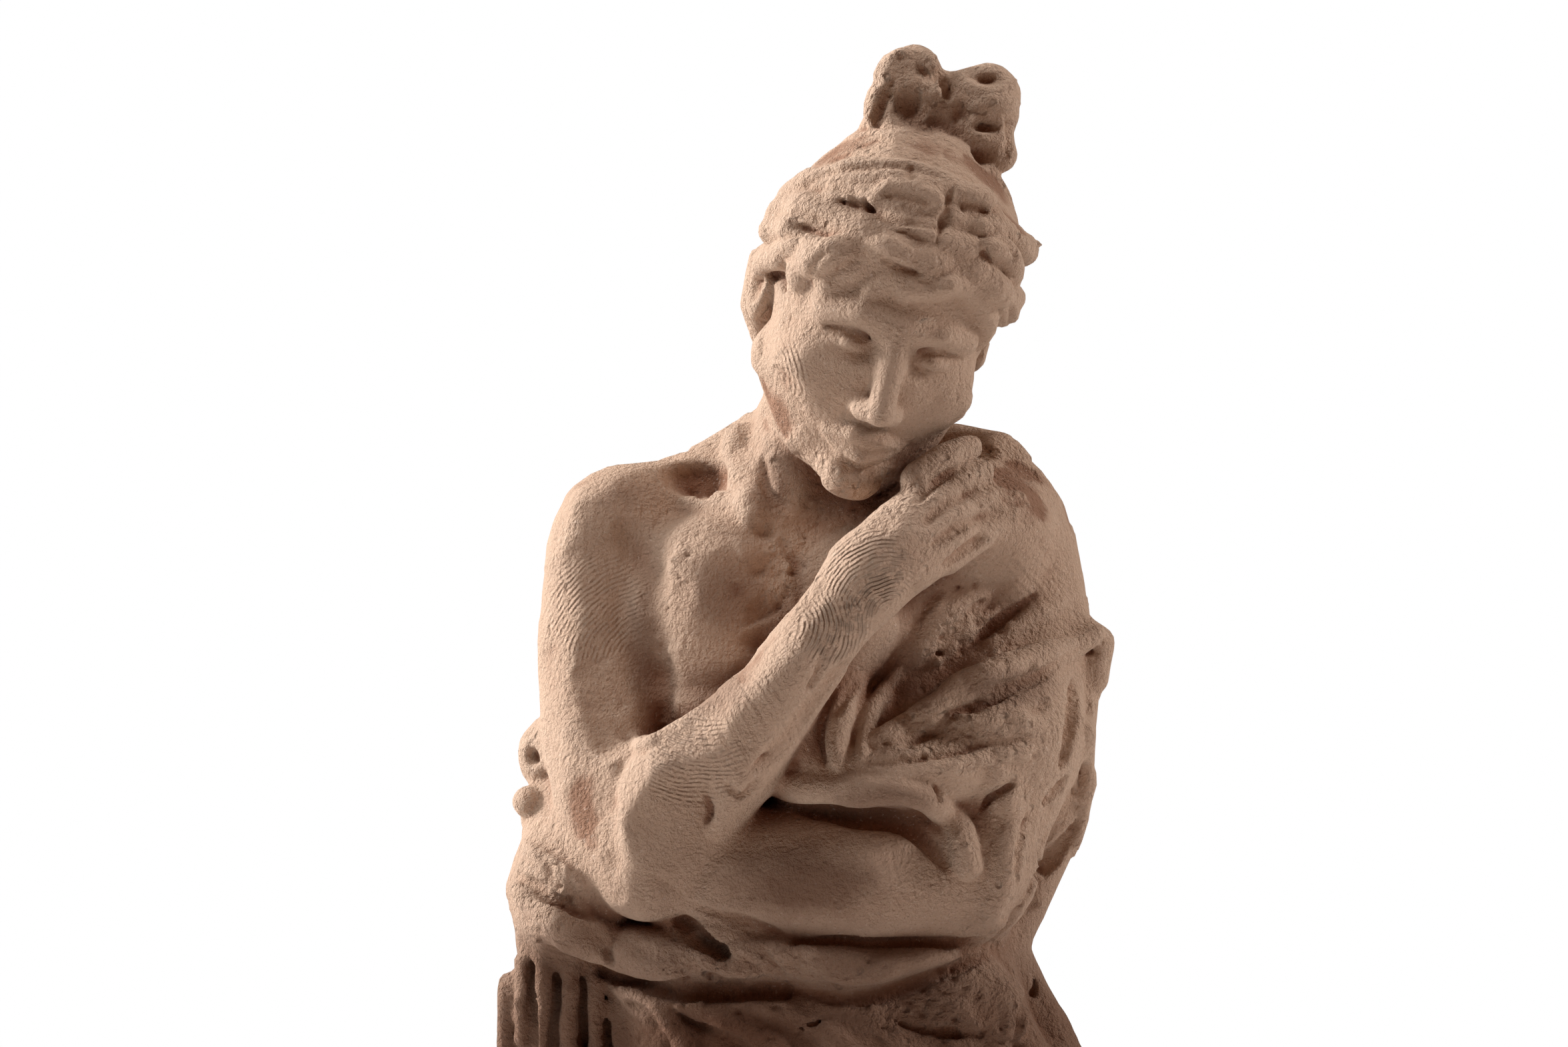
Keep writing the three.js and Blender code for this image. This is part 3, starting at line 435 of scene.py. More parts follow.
@dataclass
class RightArm:
    """The bare arm, bent up across the chest, with the hand on the left shoulder."""

    finger_radius: float = 2.1
    fingers: int = 4
    joint_bend: Point = (0.0, -1.1, 0.4)

    def model(self, clay: Clay) -> None:
        """Builds the arm and then the hand."""
        shoulder, elbow = (-24.2, 245.8, 0), (-20.4, 200.9, -20.5)
        clay.press(Egg(seen(*shoulder), (8.8, 9.0, 9.2)), 3.5)
        upper = [shoulder, (-27.1, 236, -2.5), (-27.0, 227, -6), (-26.2, 218, -11), (-24.6, 210, -15.5),
                 (-22.4, 204, -18.5), elbow]
        clay.press(seen_roll(upper, [8.2, 7.8, 7.8, 7.8, 7.5, 6.9, 6.1]), 2.5)
        fore = [elbow, (-18.2, 206.2, -20.5), (-14.6, 211.6, -21.5), (-9.4, 216, -23), (-2.8, 224.4, -25.5),
                (5, 234.8, -26.5), (9.8, 240.6, -26)]
        clay.press(seen_roll(fore, [6.1, 8.4, 8.7, 7.6, 5.9, 5.2, 5.6]), 1.6)
        clay.press(seen_roll([(-12, 214, -14), (0, 224, -16), (8, 235, -17)], [6, 5.5, 6]), 2)
        self.details(clay)
        self.hand(clay)

    def details(self, clay: Clay) -> None:
        """Adds the muscles, the crook of the elbow and the flat front of its point."""
        clay.ridge([(-27.8, 249), (-28.8, 242), (-28, 234)], 4.2, lift=-3.2, blend=3)
        clay.groove([(-22.5, 247), (-20.5, 243), (-19.8, 238)], 2.2, lift=1.2, blend=2)
        clay.groove([(-24.8, 222.5), (-23.2, 220), (-21.6, 217.4), (-19.5, 217.5)], 1.1, lift=0.2, blend=0.8)
        clay.ridge([(-25.6, 213.6), (-24, 215.6), (-21.5, 217.3), (-17, 219.4), (-11, 223.6)], 1.2, blend=1.5)
        clay.scrape(Egg(seen(-18.2, 204.6, -45.4), (24, 18, 21)), 0.6)
        clay.groove([(-26.6, 211), (-26.2, 206), (-25, 201)], 1.7, lift=1.0, blend=2)
        clay.groove([(-12.2, 212), (-12.8, 207), (-15, 202)], 1.6, lift=1.2, blend=1.5)
        clay.ridge([(-10, 219.5), (-4, 224.5), (1, 230)], 2.6, lift=-1.6, blend=2)
        clay.cut([(-28.5, 232), (-26, 226), (-25.5, 219)], 4.5, 0.7, blend=1.0)
        clay.cut([(-4, 214.5), (1.5, 221), (7, 228.6)], 3.0, 0.6, blend=0.6)

    def hand(self, clay: Clay) -> None:
        """Lays the hand on the shoulder, each finger a chain from knuckle to tip."""
        clay.press(Egg(seen(23, 247.4, -9), (11.5, 9.5, 8.5)), 4)
        back = [(9.8, 240.6, -26), (13.8, 243.8, -24.5), (18.4, 247.2, -21)]
        clay.press(seen_roll(back, [5.4, 6.0, 6.2]), 2)
        knuckles = np.array([seen(16.4, 253.6, -21.5), seen(20.2, 243, -22.5)])
        tips = np.array([seen(23.4, 258, -15.5), seen(28.2, 247.6, -16)])
        r = self.finger_radius
        for n in range(self.fingers):
            t = n / (self.fingers - 1)
            knuckle, tip = knuckles[0] * (1 - t) + knuckles[1] * t, tips[0] * (1 - t) + tips[1] * t
            joint = (knuckle + tip) / 2 + self.joint_bend
            clay.press(Roll([tuple(knuckle), tuple(joint), tuple(tip)], [1.1 * r, r, 0.8 * r]), 0.6)
        clay.cuts((
            ([(19.5, 241.5), (22, 243.5), (25.6, 246.2)], 2.0, 1.3),
            ([(18.2, 244.8), (21.5, 247), (26, 249)], 1.7, 1.1),
            ([(17.2, 247.6), (20, 250), (24.2, 252.2)], 1.6, 1.1),
            ([(16.5, 250.5), (18.5, 253), (22, 255.4)], 1.4, 0.9),
        ))


@dataclass
class LeftArm:
    """The covered arm, folded below the other, with its hand out beyond the right arm."""

    forearm_radius: float = 9.2

    def model(self, clay: Clay) -> None:
        """Builds the arm and the part of the hand that shows."""
        upper = [(26.5, 246, 1), (29, 234, -1), (28.5, 220, -6), (22.8, 201.5, -13)]
        clay.press(seen_roll(upper, [9.2, 9.6, 9.8, 9.3]), 5)
        r = self.forearm_radius
        path = [seen(*stop) for stop in (upper[-1], (9, 200.6, -17), (-9, 200.2, -17))]
        clay.press(Roll([*path, (-25, -12, 205), (-32, -6, 209.5)], [r, 1.03 * r, 0.97 * r, 7, 4.8]), 2.5)
        clay.press(Egg(seen(-34.2, 216.6, -3.5), (3.1, 5.5, 4.8)), 1.0)
        clay.scrape(Egg(seen(-35.4, 216.3, -8.4), (1.6, 1.6, 1.4)), 0.4)
        clay.cut([(-37, 219), (-35, 219.6), (-32.6, 218)], 1.0, 0.6)
        clay.press(Egg(seen(-35.8, 210.2, -8), (2.4, 2.8, 2.2)), 0.3)


@dataclass
class Cloak:
    """Cloth over the left shoulder and arm, across the back and under the right arm."""

    hem_radius: float = 2.3

    def model(self, clay: Clay) -> None:
        """Adds the masses, then the folds that are laid on them."""
        clay.press(seen_roll([(21.6, 255.8, 4), (27.3, 255.2, -2), (31, 252.4, -3)], [5.4, 4.8, 3.6]), 2)
        clay.press(Roll([(33, 0, 249), (34, -1, 240), (34.5, -1, 226)], [3.2, 3.8, 4.6]), 4)
        clay.press(Egg((4, 13, 225), (30, 9, 36)), 5)
        clay.press(Egg(seen(24, 219, -11), (14, 12, 11)), 5)
        clay.press(Egg(seen(-30.5, 198.2, -7), (8.4, 13, 10.6)), 3)
        clay.press(Egg(seen(4.5, 217.5, -15), (9.5, 9, 9)), 3)
        clay.press(Egg(seen(13, 214.2, -19), (14, 8.5, 5.4)), 2)
        self.side(clay)
        self.valley(clay)
        self.lip(clay)
        self.back(clay)

    def side(self, clay: Clay) -> None:
        """Lets the cloth fall behind the left elbow and bunches it at the arm's outer side."""
        outer = [(38, 226, -1), (36.2, 214, -1), (34.2, 205, -1), (31, 196, -2), (28.5, 191, -4)]
        clay.press(seen_roll(outer, [3, 4, 3.6, 2.8, 2.4]), 2.5)
        clay.press(seen_roll([(37.6, 233.8, -4), (40.6, 231.6, -3), (39.8, 227, -3)], [2.2, 2.3, 2.4]), 1.0)
        clay.cut([(40.8, 230.2), (37.6, 230.6), (35, 228.6)], 1.4, 1.0)
        clay.cuts((
            ([(37.4, 227), (36.9, 222), (36.3, 218), (35.4, 214.4)], 2.4, 2.4),
            ([(36.9, 213.8), (35, 211.9), (33, 209.4)], 1.8, 1.6),
            ([(38.8, 208.6), (35.4, 203.9), (33, 201), (30.6, 196)], 2.4, 2.0),
        ), taper=0.15)
        clay.cuts((
            ([(39.4, 222), (38.8, 216), (38.4, 211)], 1.2, 0.7),
            ([(34.8, 207.6), (33.2, 204.4), (32.6, 201)], 1.2, 0.7),
            ([(31.2, 198), (29, 194), (25.2, 190.4)], 1.8, 1.2),
        ))
        clay.band([(39.6, 225), (39, 217), (38.9, 211), (37.2, 203)], 2.6, 1.0)
        clay.cut([(24.6, 258.6), (27, 257), (29.8, 256)], 1.4, 0.9)
        clay.cut([(21.4, 259.4), (23.2, 257.4), (23.8, 255)], 1.2, 0.8)

    def valley(self, clay: Clay) -> None:
        """Opens the deep hollow behind the right forearm, with the folds that fall across it."""
        hollow = [(29, 238, -16), (21, 230.6, -19.5), (13.4, 223.6, -23.5), (9.6, 219.6, -25)]
        clay.scrape(seen_roll(hollow, [4.2, 5, 4.2, 2.4]), 1.2)
        hem = [(40.6, 233), (35, 230.2), (29, 228.5), (23, 225.9), (17, 221.4), (10, 217.8)]
        clay.ridge(hem, self.hem_radius, lift=0.5, blend=0.8)
        clay.cut([(39, 231.2), (33, 227.4), (27, 225), (20, 220.6), (14, 217.4)], 2.2, 0.9)
        clay.bands((
            ([(31, 245), (25, 239), (18.4, 233), (14.6, 228.8), (11.4, 222.6)], 4.2, 1.2),
            ([(34.5, 242), (28, 237.6), (22, 232.6), (18, 228.4)], 3.4, 1.0),
            ([(36.5, 237.5), (31, 234.4), (25.6, 230.6)], 3.0, 0.9),
            ([(12.6, 231.2), (9, 227.6), (6.6, 223.6), (5.6, 219), (5.8, 214.6)], 3.0, 1.9),
            ([(14.2, 228.4), (11.4, 224.4), (9.6, 220.6), (8.6, 215.6)], 2.4, 1.5),
            ([(8, 229), (4, 225), (1.6, 220.6), (1.2, 215)], 2.6, 1.2),
        ))
        for stops in (
            [(10.6, 229), (7, 225), (5, 221.4)],
            [(3.6, 222), (3.4, 218), (3.8, 214.6)],
            [(29, 241), (23.6, 236), (18.6, 231)],
            [(33, 238.6), (27.4, 234.6), (23.4, 231)],
            [(21.6, 240.6), (18, 237), (15.4, 233)],
            [(34.6, 247.6), (31.4, 243.4), (29.6, 239.8)],
        ):
            clay.cut(stops, 1.5, 0.9)

    def lip(self, clay: Clay) -> None:
        """Folds the cloth over the left forearm into a pointed lip with shadow below it."""
        edge = [(-1, 212.3), (3, 211.9), (9, 211.6), (14, 211.7), (18, 210.6), (21.4, 207), (23.4, 201.6)]
        clay.band(edge, 4.4, 2.2, taper=0.8)
        clay.cut([(0.4, 209.8), (6, 208.4), (13, 207.4), (17.4, 205.2), (20.4, 201.2)], 3.2, 1.7, blend=0.4)
        clay.cut([(8.8, 215.4), (14, 215.6), (20, 216.4), (27, 218), (33, 218.8)], 1.8, 0.8)
        clay.band([(12, 213.8), (20, 214.6), (26, 216), (32, 217.2)], 2.6, 0.8)
        clay.ridge([(27.5, 214), (28.4, 208), (28, 201), (26, 195)], 2.4, lift=-0.8, blend=2)
        clay.cuts((
            ([(29.4, 213.6), (26.8, 211.6), (24.6, 208.4)], 1.0, 0.9),
            ([(26.6, 211.2), (28.2, 210.4)], 0.8, 0.6),
            ([(31.6, 209), (30.4, 204), (29.8, 199)], 1.6, 0.8),
            ([(17.6, 221.4), (23, 222.4), (29, 224.8)], 1.2, 0.6),
            ([(24, 220.6), (30.4, 221.6), (34.4, 223.6)], 1.3, 0.7),
        ))
        clay.band([(18, 219.6), (25, 220.6), (32, 221)], 2.6, 0.6)

    def back(self, clay: Clay) -> None:
        """Lays long folds from the left shoulder down to the right hip, seen from behind."""
        falls = [
            ([(26, 252), (16, 240), (4, 224), (-10, 208), (-24, 196)], 2.6),
            ([(30, 244), (22, 230), (10, 214), (-4, 200), (-16, 191)], 2.4),
            ([(18, 256), (6, 246), (-8, 232), (-22, 218), (-30, 210)], 2.3),
            ([(34, 232), (30, 218), (22, 204), (12, 194)], 2.2),
            ([(8, 256), (-4, 250), (-16, 240), (-26, 228)], 2.0),
        ]
        for stops, radius in falls:
            clay.ridge(stops, radius, lift=0.8, blend=0.8, side=Side.BACK)
            below = [(x - 2.6, z - 3.6) for x, z in stops]
            clay.cut(below, 2.4 * radius, 0.7 * radius, blend=0.8, side=Side.BACK)
            beside = [(x + 2.4, z + 3.2) for x, z in stops[1:-1]]
            clay.band(beside, 1.2 * radius, 0.35 * radius, side=Side.BACK)


@dataclass
class Overfold:
    """The turned-over edge of the cloth below the arms, behind and in front, with shadow under it."""

    radius: float = 2.6
    height: float = 188.8
    first: float = 99.0
    last: float = 261.0
    samples: int = 19

    def model(self, clay: Clay) -> None:
        """Lays the roll behind the waist as one wavy line, then the front by its own stops."""
        rim = []
        for degrees in np.linspace(self.first, self.last, self.samples):
            turn = np.radians(degrees)
            rim.append((degrees, self.height + 1.5 * np.sin(2 * turn - 1) + 1.1 * np.sin(5 * turn)))
        clay.ridge(rim, self.radius, lift=-0.4, blend=0.8, side=Side.AROUND, taper=0.4)
        clay.cut([(a, z - 4) for a, z in rim], 3.2, 1.5, blend=0.6, side=Side.AROUND, taper=1)
        clay.cut([(a, z + 3) for a, z in rim], 2.2, 0.7, blend=0.6, side=Side.AROUND, taper=1)
        self.front(clay)

    def front(self, clay: Clay) -> None:
        """Shapes the ragged roll below the elbow and forearm out of overlapping strips."""
        roll = [(-34, 193.2), (-27, 192.4), (-20, 190.4), (-12, 189.4), (-4, 189.2), (4, 188.6), (12, 188.6),
                (20, 190)]
        clay.ridge(roll, self.radius, lift=0.3, blend=0.8, taper=0.75)
        clay.bands((
            ([(-36.4, 204.4), (-30, 199.4), (-24, 195.6), (-17, 193.4), (-9, 192.4), (-1, 190.8)], 3.6, 1.5),
            ([(-38, 199), (-33, 194), (-28, 190.8), (-23, 190)], 4.0, 1.2),
            ([(-26, 189.6), (-20, 188.4), (-14.4, 187.6)], 3.6, 1.1),
            ([(-9, 190.8), (-3, 189.8), (3, 189.4)], 3.2, 1.3),
            ([(1, 188), (8, 187), (14, 188.4), (19, 189.6)], 3.2, 1.0),
            ([(-13.4, 189.4), (-9, 188), (-4, 187.2)], 2.8, 0.9),
        ))
        clay.cuts((
            ([(-38.4, 201), (-33, 197.4), (-27, 193.8)], 1.8, 1.0),
            ([(-31, 207.4), (-29.4, 202), (-26, 197.6)], 1.6, 1.0),
            ([(-16.4, 195), (-13, 192.2), (-9, 189.4)], 3.0, 2.4),
            ([(-1, 191.1), (5, 191.6), (12, 191.5), (20, 191.2), (25.4, 192)], 1.5, 1.3),
            ([(-14, 196.4), (-8, 194.6), (-2, 192.6)], 1.8, 1.0),
            ([(-26.6, 187.6), (-22, 186.4), (-16, 184.6), (-8, 184.4), (0, 184.6)], 3.0, 1.9),
            ([(0, 184.6), (8, 183.6), (14, 185), (20, 187.2), (26, 189.6)], 2.2, 1.3),
            ([(-25.6, 190.6), (-24.6, 188.6)], 1.2, 1.2),
            ([(-4.6, 190.8), (-3.4, 188), (-1, 186.2)], 1.2, 0.9),
            ([(-34.6, 203.4), (-33, 199.6)], 1.2, 0.7),
        ))


@dataclass
class Skirt:
    """A cone of folds, flattened where a thigh and knee press on it."""

    top: float = 192.0
    folds: int = 13
    fold_depth: float = 3.4
    stations: tuple[tuple[float, float, float, float, float], ...] = (
        (0, 0.5, 0, 43, 34),
        (40, 1, 0, 40.5, 31),
        (95, 1.5, -1, 40, 29),
        (150, 2, 0, 40, 26),
        (172, 0.5, 0.5, 37.6, 23.5),
        (192, -4, 1, 31.5, 20.5),
    )

    def bounds(self) -> tuple[np.ndarray, np.ndarray]:
        """Gives its lowest and highest corner."""
        reach = np.array([self.stations[0][3], self.stations[0][4], 0.0]) + 2 * self.fold_depth
        return -reach - (0, 0, 1), reach * (1, 1, 0) + (0, 0, self.top)

    def gap(self, xs: np.ndarray, ys: np.ndarray, zs: np.ndarray, margin: float) -> np.ndarray:
        """Gives the distance to its skin on the grid of three axes, below zero inside."""
        table = np.array(self.stations)
        curve = smooth_line(table, 240)
        heights = np.clip(zs, 0, self.top)
        mid_x, mid_y, wide, deep = (np.interp(heights, curve[:, 0], curve[:, k]) for k in (1, 2, 3, 4))
        dx = ((xs[:, None, None] - mid_x) / wide).astype(np.float32)
        dy = ((ys[None, :, None] - mid_y) / deep).astype(np.float32)
        turn = np.arctan2(dy, dx)
        z = zs.astype(np.float32)
        swirl = 0.9 * np.sin(2 * turn + 0.6) + 0.5 * np.sin(3 * turn - z / 60) + z / 130
        crest = 2 * np.abs(np.sin(self.folds * turn / 2 + swirl)) - 1
        depth = self.fold_depth / 2 * (1 - 0.55 * smoothstep(z, 60, self.top))
        reach = np.sqrt(dx * dx + dy * dy)
        skin = (reach - 1) * 0.8 * np.minimum(wide, deep) - depth * crest
        return np.maximum(skin, np.maximum(z - self.top, -z - 1)).astype(np.float32)

    def model(self, clay: Clay) -> None:
        """Sets the skirt up with the hip, thigh and knee in it, lays its folds and adds the toes."""
        clay.press(self, 3)
        hip = [(30.6, 187, -2), (33.6, 180, -2), (35.6, 173, -2), (36, 160, -2)]
        clay.press(seen_roll(hip, [1.2, 2.6, 3.8, 4]), 3)
        clay.press(Egg(seen(-32.5, 184, -9), (6.5, 5.5, 7)), 3)
        clay.press(Roll([(15, -12, 168), (15, -21, 112), (14, -18, 96)], [13, 10.5, 9]), 7)
        clay.press(Roll([(14, -18, 98), (13, -18, 40), (13, -22, 10)], [9, 9, 8]), 8)
        self.upper_folds(clay)
        self.lower_folds(clay)
        clay.press(Roll([(13, -24, 5), (14, -34, 3.4)], [5, 4]), 2)
        clay.press(Roll([(-12, -22, 5), (-16, -31, 3.4)], [5, 4]), 2)

    def upper_folds(self, clay: Clay) -> None:
        """Lays the folds that show below the overfold."""
        for x, drift in ((-38.4, -0.6), (-36.4, -0.4), (-33.8, -0.6), (-30.4, -0.2), (-27.4, 0.6)):
            fold = [(x, 194), (x + drift, 178), (x + 2 * drift, 150), (x + drift, 110)]
            clay.band(fold, 2.6, 1.2, taper=0.9)
        for x, drift in ((-35.1, -0.5), (-32.2, -0.4), (-28.9, 0.2), (-26.2, 0.8)):
            clay.cut([(x, 190.5), (x + drift, 178), (x + 2 * drift, 150)], 1.5, 2.2, taper=0.9)
        clay.bands((
            ([(-25.5, 187.4), (-21, 184), (-17, 180), (-13.5, 174), (-8, 158)], 4.2, 2.2),
            ([(-20, 186), (-10, 180.6), (0, 174), (10, 162)], 4.0, 2.0),
            ([(-10, 183.4), (0, 181), (8, 176), (16, 168)], 3.4, 1.6),
        ))
        clay.press(Egg(seen(21, 182, -14), (10.5, 6, 7.5)), 1.5)
        clay.cuts((
            ([(-23, 183.4), (-19, 179.6), (-15.6, 173)], 2.4, 1.6),
            ([(-16, 181.6), (-6, 175.8), (3, 168)], 2.4, 1.6),
            ([(26, 189.6), (18, 187), (11, 183.4), (3, 180.6), (-3, 180)], 2.2, 1.6),
            ([(10.5, 183), (16, 179.8), (24, 178.6), (32, 177)], 1.6, 0.9),
            ([(30.6, 190), (31.6, 184.6), (30, 180), (29.6, 174)], 2.0, 1.5),
            ([(17, 185.6), (22, 184), (27, 184.6)], 1.4, 0.6),
        ))

    def lower_folds(self, clay: Clay) -> None:
        """Lays the long folds down to the hem."""
        falls = [
            [(-29, 176), (-24, 150), (-18, 120), (-15, 70), (-14, 14)],
            [(-8, 158), (0, 132), (5, 108), (6, 92)],
            [(22, 150), (27, 120), (26, 70), (27, 14)],
            [(36, 176), (39, 160), (40, 130), (41, 80)],
            [(4, 92), (1, 60), (2, 14)],
            [(-27, 120), (-29, 70), (-28, 14)],
        ]
        for stops in falls:
            clay.ridge(stops, 2.7, lift=0.7)


@dataclass
class Head:
    """The bowed head, leaning to the left shoulder, with bound hair and a knot on the crown."""

    middle: Point = (10.8, -12.0, 276.0)
    lean: float = 13.0
    turn: float = 12.0
    bow: float = 20.0
    height: float = 44.0
    drawn_height: float = 42.0

    def __post_init__(self) -> None:
        """Works out the head's own axes and scale."""
        about = (("Y", self.lean), ("Z", self.turn), ("X", self.bow))
        axes = Matrix.Identity(3)
        for axis, degrees in about:
            axes = axes @ Matrix.Rotation(np.radians(degrees), 3, axis)
        self.axes = np.array(axes)
        self.scale = self.height / self.drawn_height

    def at(self, x: float, y: float, z: float) -> Point:
        """Gives the place of a point of the head's own frame."""
        return tuple(np.array(self.middle) + self.scale * (self.axes @ np.array([x, y, z])))

    def egg(self, x: float, y: float, z: float, rx: float, ry: float, rz: float) -> Egg:
        """Makes an egg that is turned with the head."""
        return Egg(self.at(x, y, z), tuple(self.scale * np.array([rx, ry, rz])), self.axes)

    def roll(self, stops: list[Point], radii: list[float]) -> Roll:
        """Makes a roll from stops in the head's own frame."""
        return Roll([self.at(*s) for s in stops], [r * self.scale for r in radii])

    def model(self, clay: Clay) -> None:
        """Builds the face, then the hair and the knot."""
        self.face(clay)
        self.hair(clay)
        self.knot(clay)

    def face(self, clay: Clay) -> None:
        """Models a plain face on the usual canon, eyes half way up the head."""
        clay.press(self.egg(0, 2.5, 6, 15, 17.5, 15), 2)
        clay.press(self.egg(0, -3.8, -4, 13.2, 12.2, 15.5), 3)
        jaw = [(-10.4, 0, -9), (-6, -6, -14.5), (0, -9.5, -17), (6, -6, -14.5), (10.4, 0, -9)]
        clay.press(self.roll(jaw, [3.8, 3.8, 4, 3.8, 3.8]), 3)
        clay.press(self.egg(0, -12.6, -17.8, 3.8, 3.4, 3.2), 2.5)
        brow = [(-9.4, -11.2, 2.2), (-5, -14.3, 3.6), (0, -15, 3.4), (5, -14.3, 3.6), (9.4, -11.2, 2.2)]
        clay.press(self.roll(brow, [1.5, 1.7, 1.6, 1.7, 1.5]), 1.5)
        for side in (-1, 1):
            self.eye(clay, side)
            clay.press(self.egg(side * 8.8, -9.4, -5.4, 4, 3.8, 3.4), 3)
            clay.press(self.egg(side * 1.9, -16.4, -7.9, 1.5, 1.9, 1.3), 1.0)
            clay.scrape(self.egg(side * 4.2, -17.6, -9.4, 0.8, 1.6, 1.4), 1.0)
            self.ear(clay, side)
        clay.press(self.roll([(0, -14.4, 2.4), (0, -16.9, -3), (0, -18.6, -7.2)], [1.7, 1.6, 1.7]), 1.6)
        self.mouth(clay)

    def eye(self, clay: Clay, side: int) -> None:
        """Sinks the socket and lays the lowered lids over the ball of the eye."""
        clay.scrape(self.egg(side * 5.7, -17.4, -0.6, 4.2, 4.2, 2.5), 1.4)
        clay.press(self.egg(side * 5.5, -11.6, -0.8, 3.1, 2.5, 2.1), 0.6)
        upper = [(side * 2.7, -13.6, -0.9), (side * 5.5, -14.4, -0.5), (side * 8.4, -12.4, -1.2)]
        clay.press(self.roll(upper, [0.5, 0.75, 0.5]), 0.4)
        lower = [(side * 2.9, -13.2, -1.6), (side * 5.5, -13.8, -2.3), (side * 8.2, -12.2, -1.8)]
        clay.press(self.roll(lower, [0.4, 0.6, 0.4]), 0.5)
        crease = [(side * 3, -14, 0.7), (side * 5.6, -14.4, 1.2), (side * 8.4, -12.6, 0.4)]
        clay.scrape(self.roll(crease, [0.35, 0.5, 0.35]), 0.4)

    def mouth(self, clay: Clay) -> None:
        """Models closed lips with the furrow above and below them."""
        upper = [(-4.8, -13.2, -12.7), (-1.6, -15.2, -11.9), (0, -15.4, -12.1), (1.6, -15.2, -11.9),
                 (4.8, -13.2, -12.7)]
        clay.press(self.roll(upper, [0.7, 1.4, 1.3, 1.4, 0.7]), 0.7)
        lower = [(-3.8, -13.3, -13.5), (0, -15.0, -14.1), (3.8, -13.3, -13.5)]
        clay.press(self.roll(lower, [0.8, 1.7, 0.8]), 0.7)
        parting = [(-5, -14.2, -12.9), (-1.5, -16.7, -12.9), (0, -16.8, -13.1), (1.5, -16.7, -12.9),
                   (5, -14.2, -12.9)]
        clay.scrape(self.roll(parting, [0.35, 0.55, 0.55, 0.55, 0.35]), 0.35)
        clay.scrape(self.roll([(-2, -15.6, -16), (2, -15.6, -16)], [0.9, 0.9]), 1)
        clay.scrape(self.roll([(0, -17.8, -9.4), (0, -17, -10.8)], [0.6, 0.8]), 0.5)

    def ear(self, clay: Clay, side: int) -> None:
        """Adds an ear and its hollow."""
        clay.press(self.egg(side * 14.6, 2.6, -1.2, 1.7, 3.2, 4.8), 0.8)
        clay.scrape(self.egg(side * 16, 1.2, -0.6, 1.3, 1.7, 2.8), 0.5)

    def hair(self, clay: Clay) -> None:
        """Binds the hair round the skull: a cap, bands, coils and a fringe of thick locks."""
        clay.press(self.egg(1.3, 3.4, 7.6, 15.2, 18.2, 15.8), 1.0)
        self.bands(clay)
        self.left_coils(clay)
        self.right_coils(clay)
        self.fringe(clay)
        self.nape(clay)

    def bands(self, clay: Clay) -> None:
        """Cuts the bound turns of hair over the brow and the marks across them."""
        clay.bands((
            ([(-1.6, 289), (0.6, 292), (5, 293.6), (10, 294.2), (16, 293.8), (22, 291.6), (28, 289)],
             5.2, 1.5),
            ([(2, 289.2), (7, 290.6), (13, 290.6), (19, 289.2), (25.6, 287)], 4.6, 1.0),
            ([(8, 288), (13, 287.4), (18, 286.2), (24, 284.4), (28.4, 281.6)], 4.4, 1.3),
            ([(10.4, 291.4), (12.4, 292.8), (15.4, 292.8), (18.4, 291.4), (20, 290)], 2.4, 0.8),
            ([(20.6, 292), (24.6, 291.2), (28, 288.4)], 3.4, 0.9),
        ))
        clay.cuts((
            ([(0.4, 292.8), (5, 295.2), (10, 295.9), (15, 295.7), (21, 293.6)], 1.3, 0.8),
            ([(3.6, 291.2), (7, 290.6), (10.5, 289.4), (14.6, 288.4), (20, 287.6)], 1.5, 1.0),
            ([(11.6, 292), (15, 291.5), (18.6, 290.4)], 1.5, 0.9),
            ([(8.6, 285.4), (14, 285), (20, 283.4), (25.6, 281.4)], 1.5, 1.0),
            ([(12, 286.8), (15.5, 286.2), (18.6, 285.4)], 1.6, 0.9),
            ([(21.6, 293.6), (20.2, 290), (19.2, 285.4)], 1.2, 1.0),
            ([(22.8, 292.6), (22.3, 289.4)], 1.0, 0.8),
            ([(22, 291.2), (25.2, 290.3), (25.4, 287.6)], 1.1, 0.9),
            ([(27.6, 291), (26.2, 288.8), (24.6, 286)], 1.1, 0.9),
            ([(9.2, 291.6), (10.2, 288.8), (10, 285.6)], 1.3, 1.0),
            ([(15.9, 296), (15.3, 293.6)], 1.0, 0.7),
            ([(4.6, 293.4), (7, 292.2), (9.6, 292.4)], 0.9, 0.6),
            ([(13.4, 290.4), (16.4, 289.8), (19, 288.9)], 0.9, 0.6),
        ))

    def left_coils(self, clay: Clay) -> None:
        """Lays the thick turns over the right ear."""
        clay.bands((
            ([(-2.6, 288.6), (0.6, 289.8), (4.5, 288.8), (9, 286.6), (14, 284.4)], 5.2, 1.6),
            ([(-5.6, 283.8), (-4.4, 286.4), (-1.2, 287.4), (3, 286.4), (8, 284)], 4.0, 1.6),
            ([(-5, 283), (-2, 285), (2, 285.2), (7, 283.4)], 3.2, 1.4),
            ([(-5.4, 281.2), (-3.6, 283.2), (-0.2, 284)], 3.4, 1.4),
        ), blend=0.3, taper=0.6)
        clay.cuts((
            ([(-0.8, 288), (2, 287.4), (5.4, 286.2)], 0.9, 0.8),
            ([(-4, 285.4), (-1.4, 286.4), (1.6, 286.6)], 0.7, 0.6),
            ([(-0.6, 289.9), (2.6, 289), (5.6, 287.4)], 0.8, 0.4),
            ([(-3.8, 281.4), (-1.8, 280.8), (-1.6, 278.6)], 2.0, 1.6),
        ))

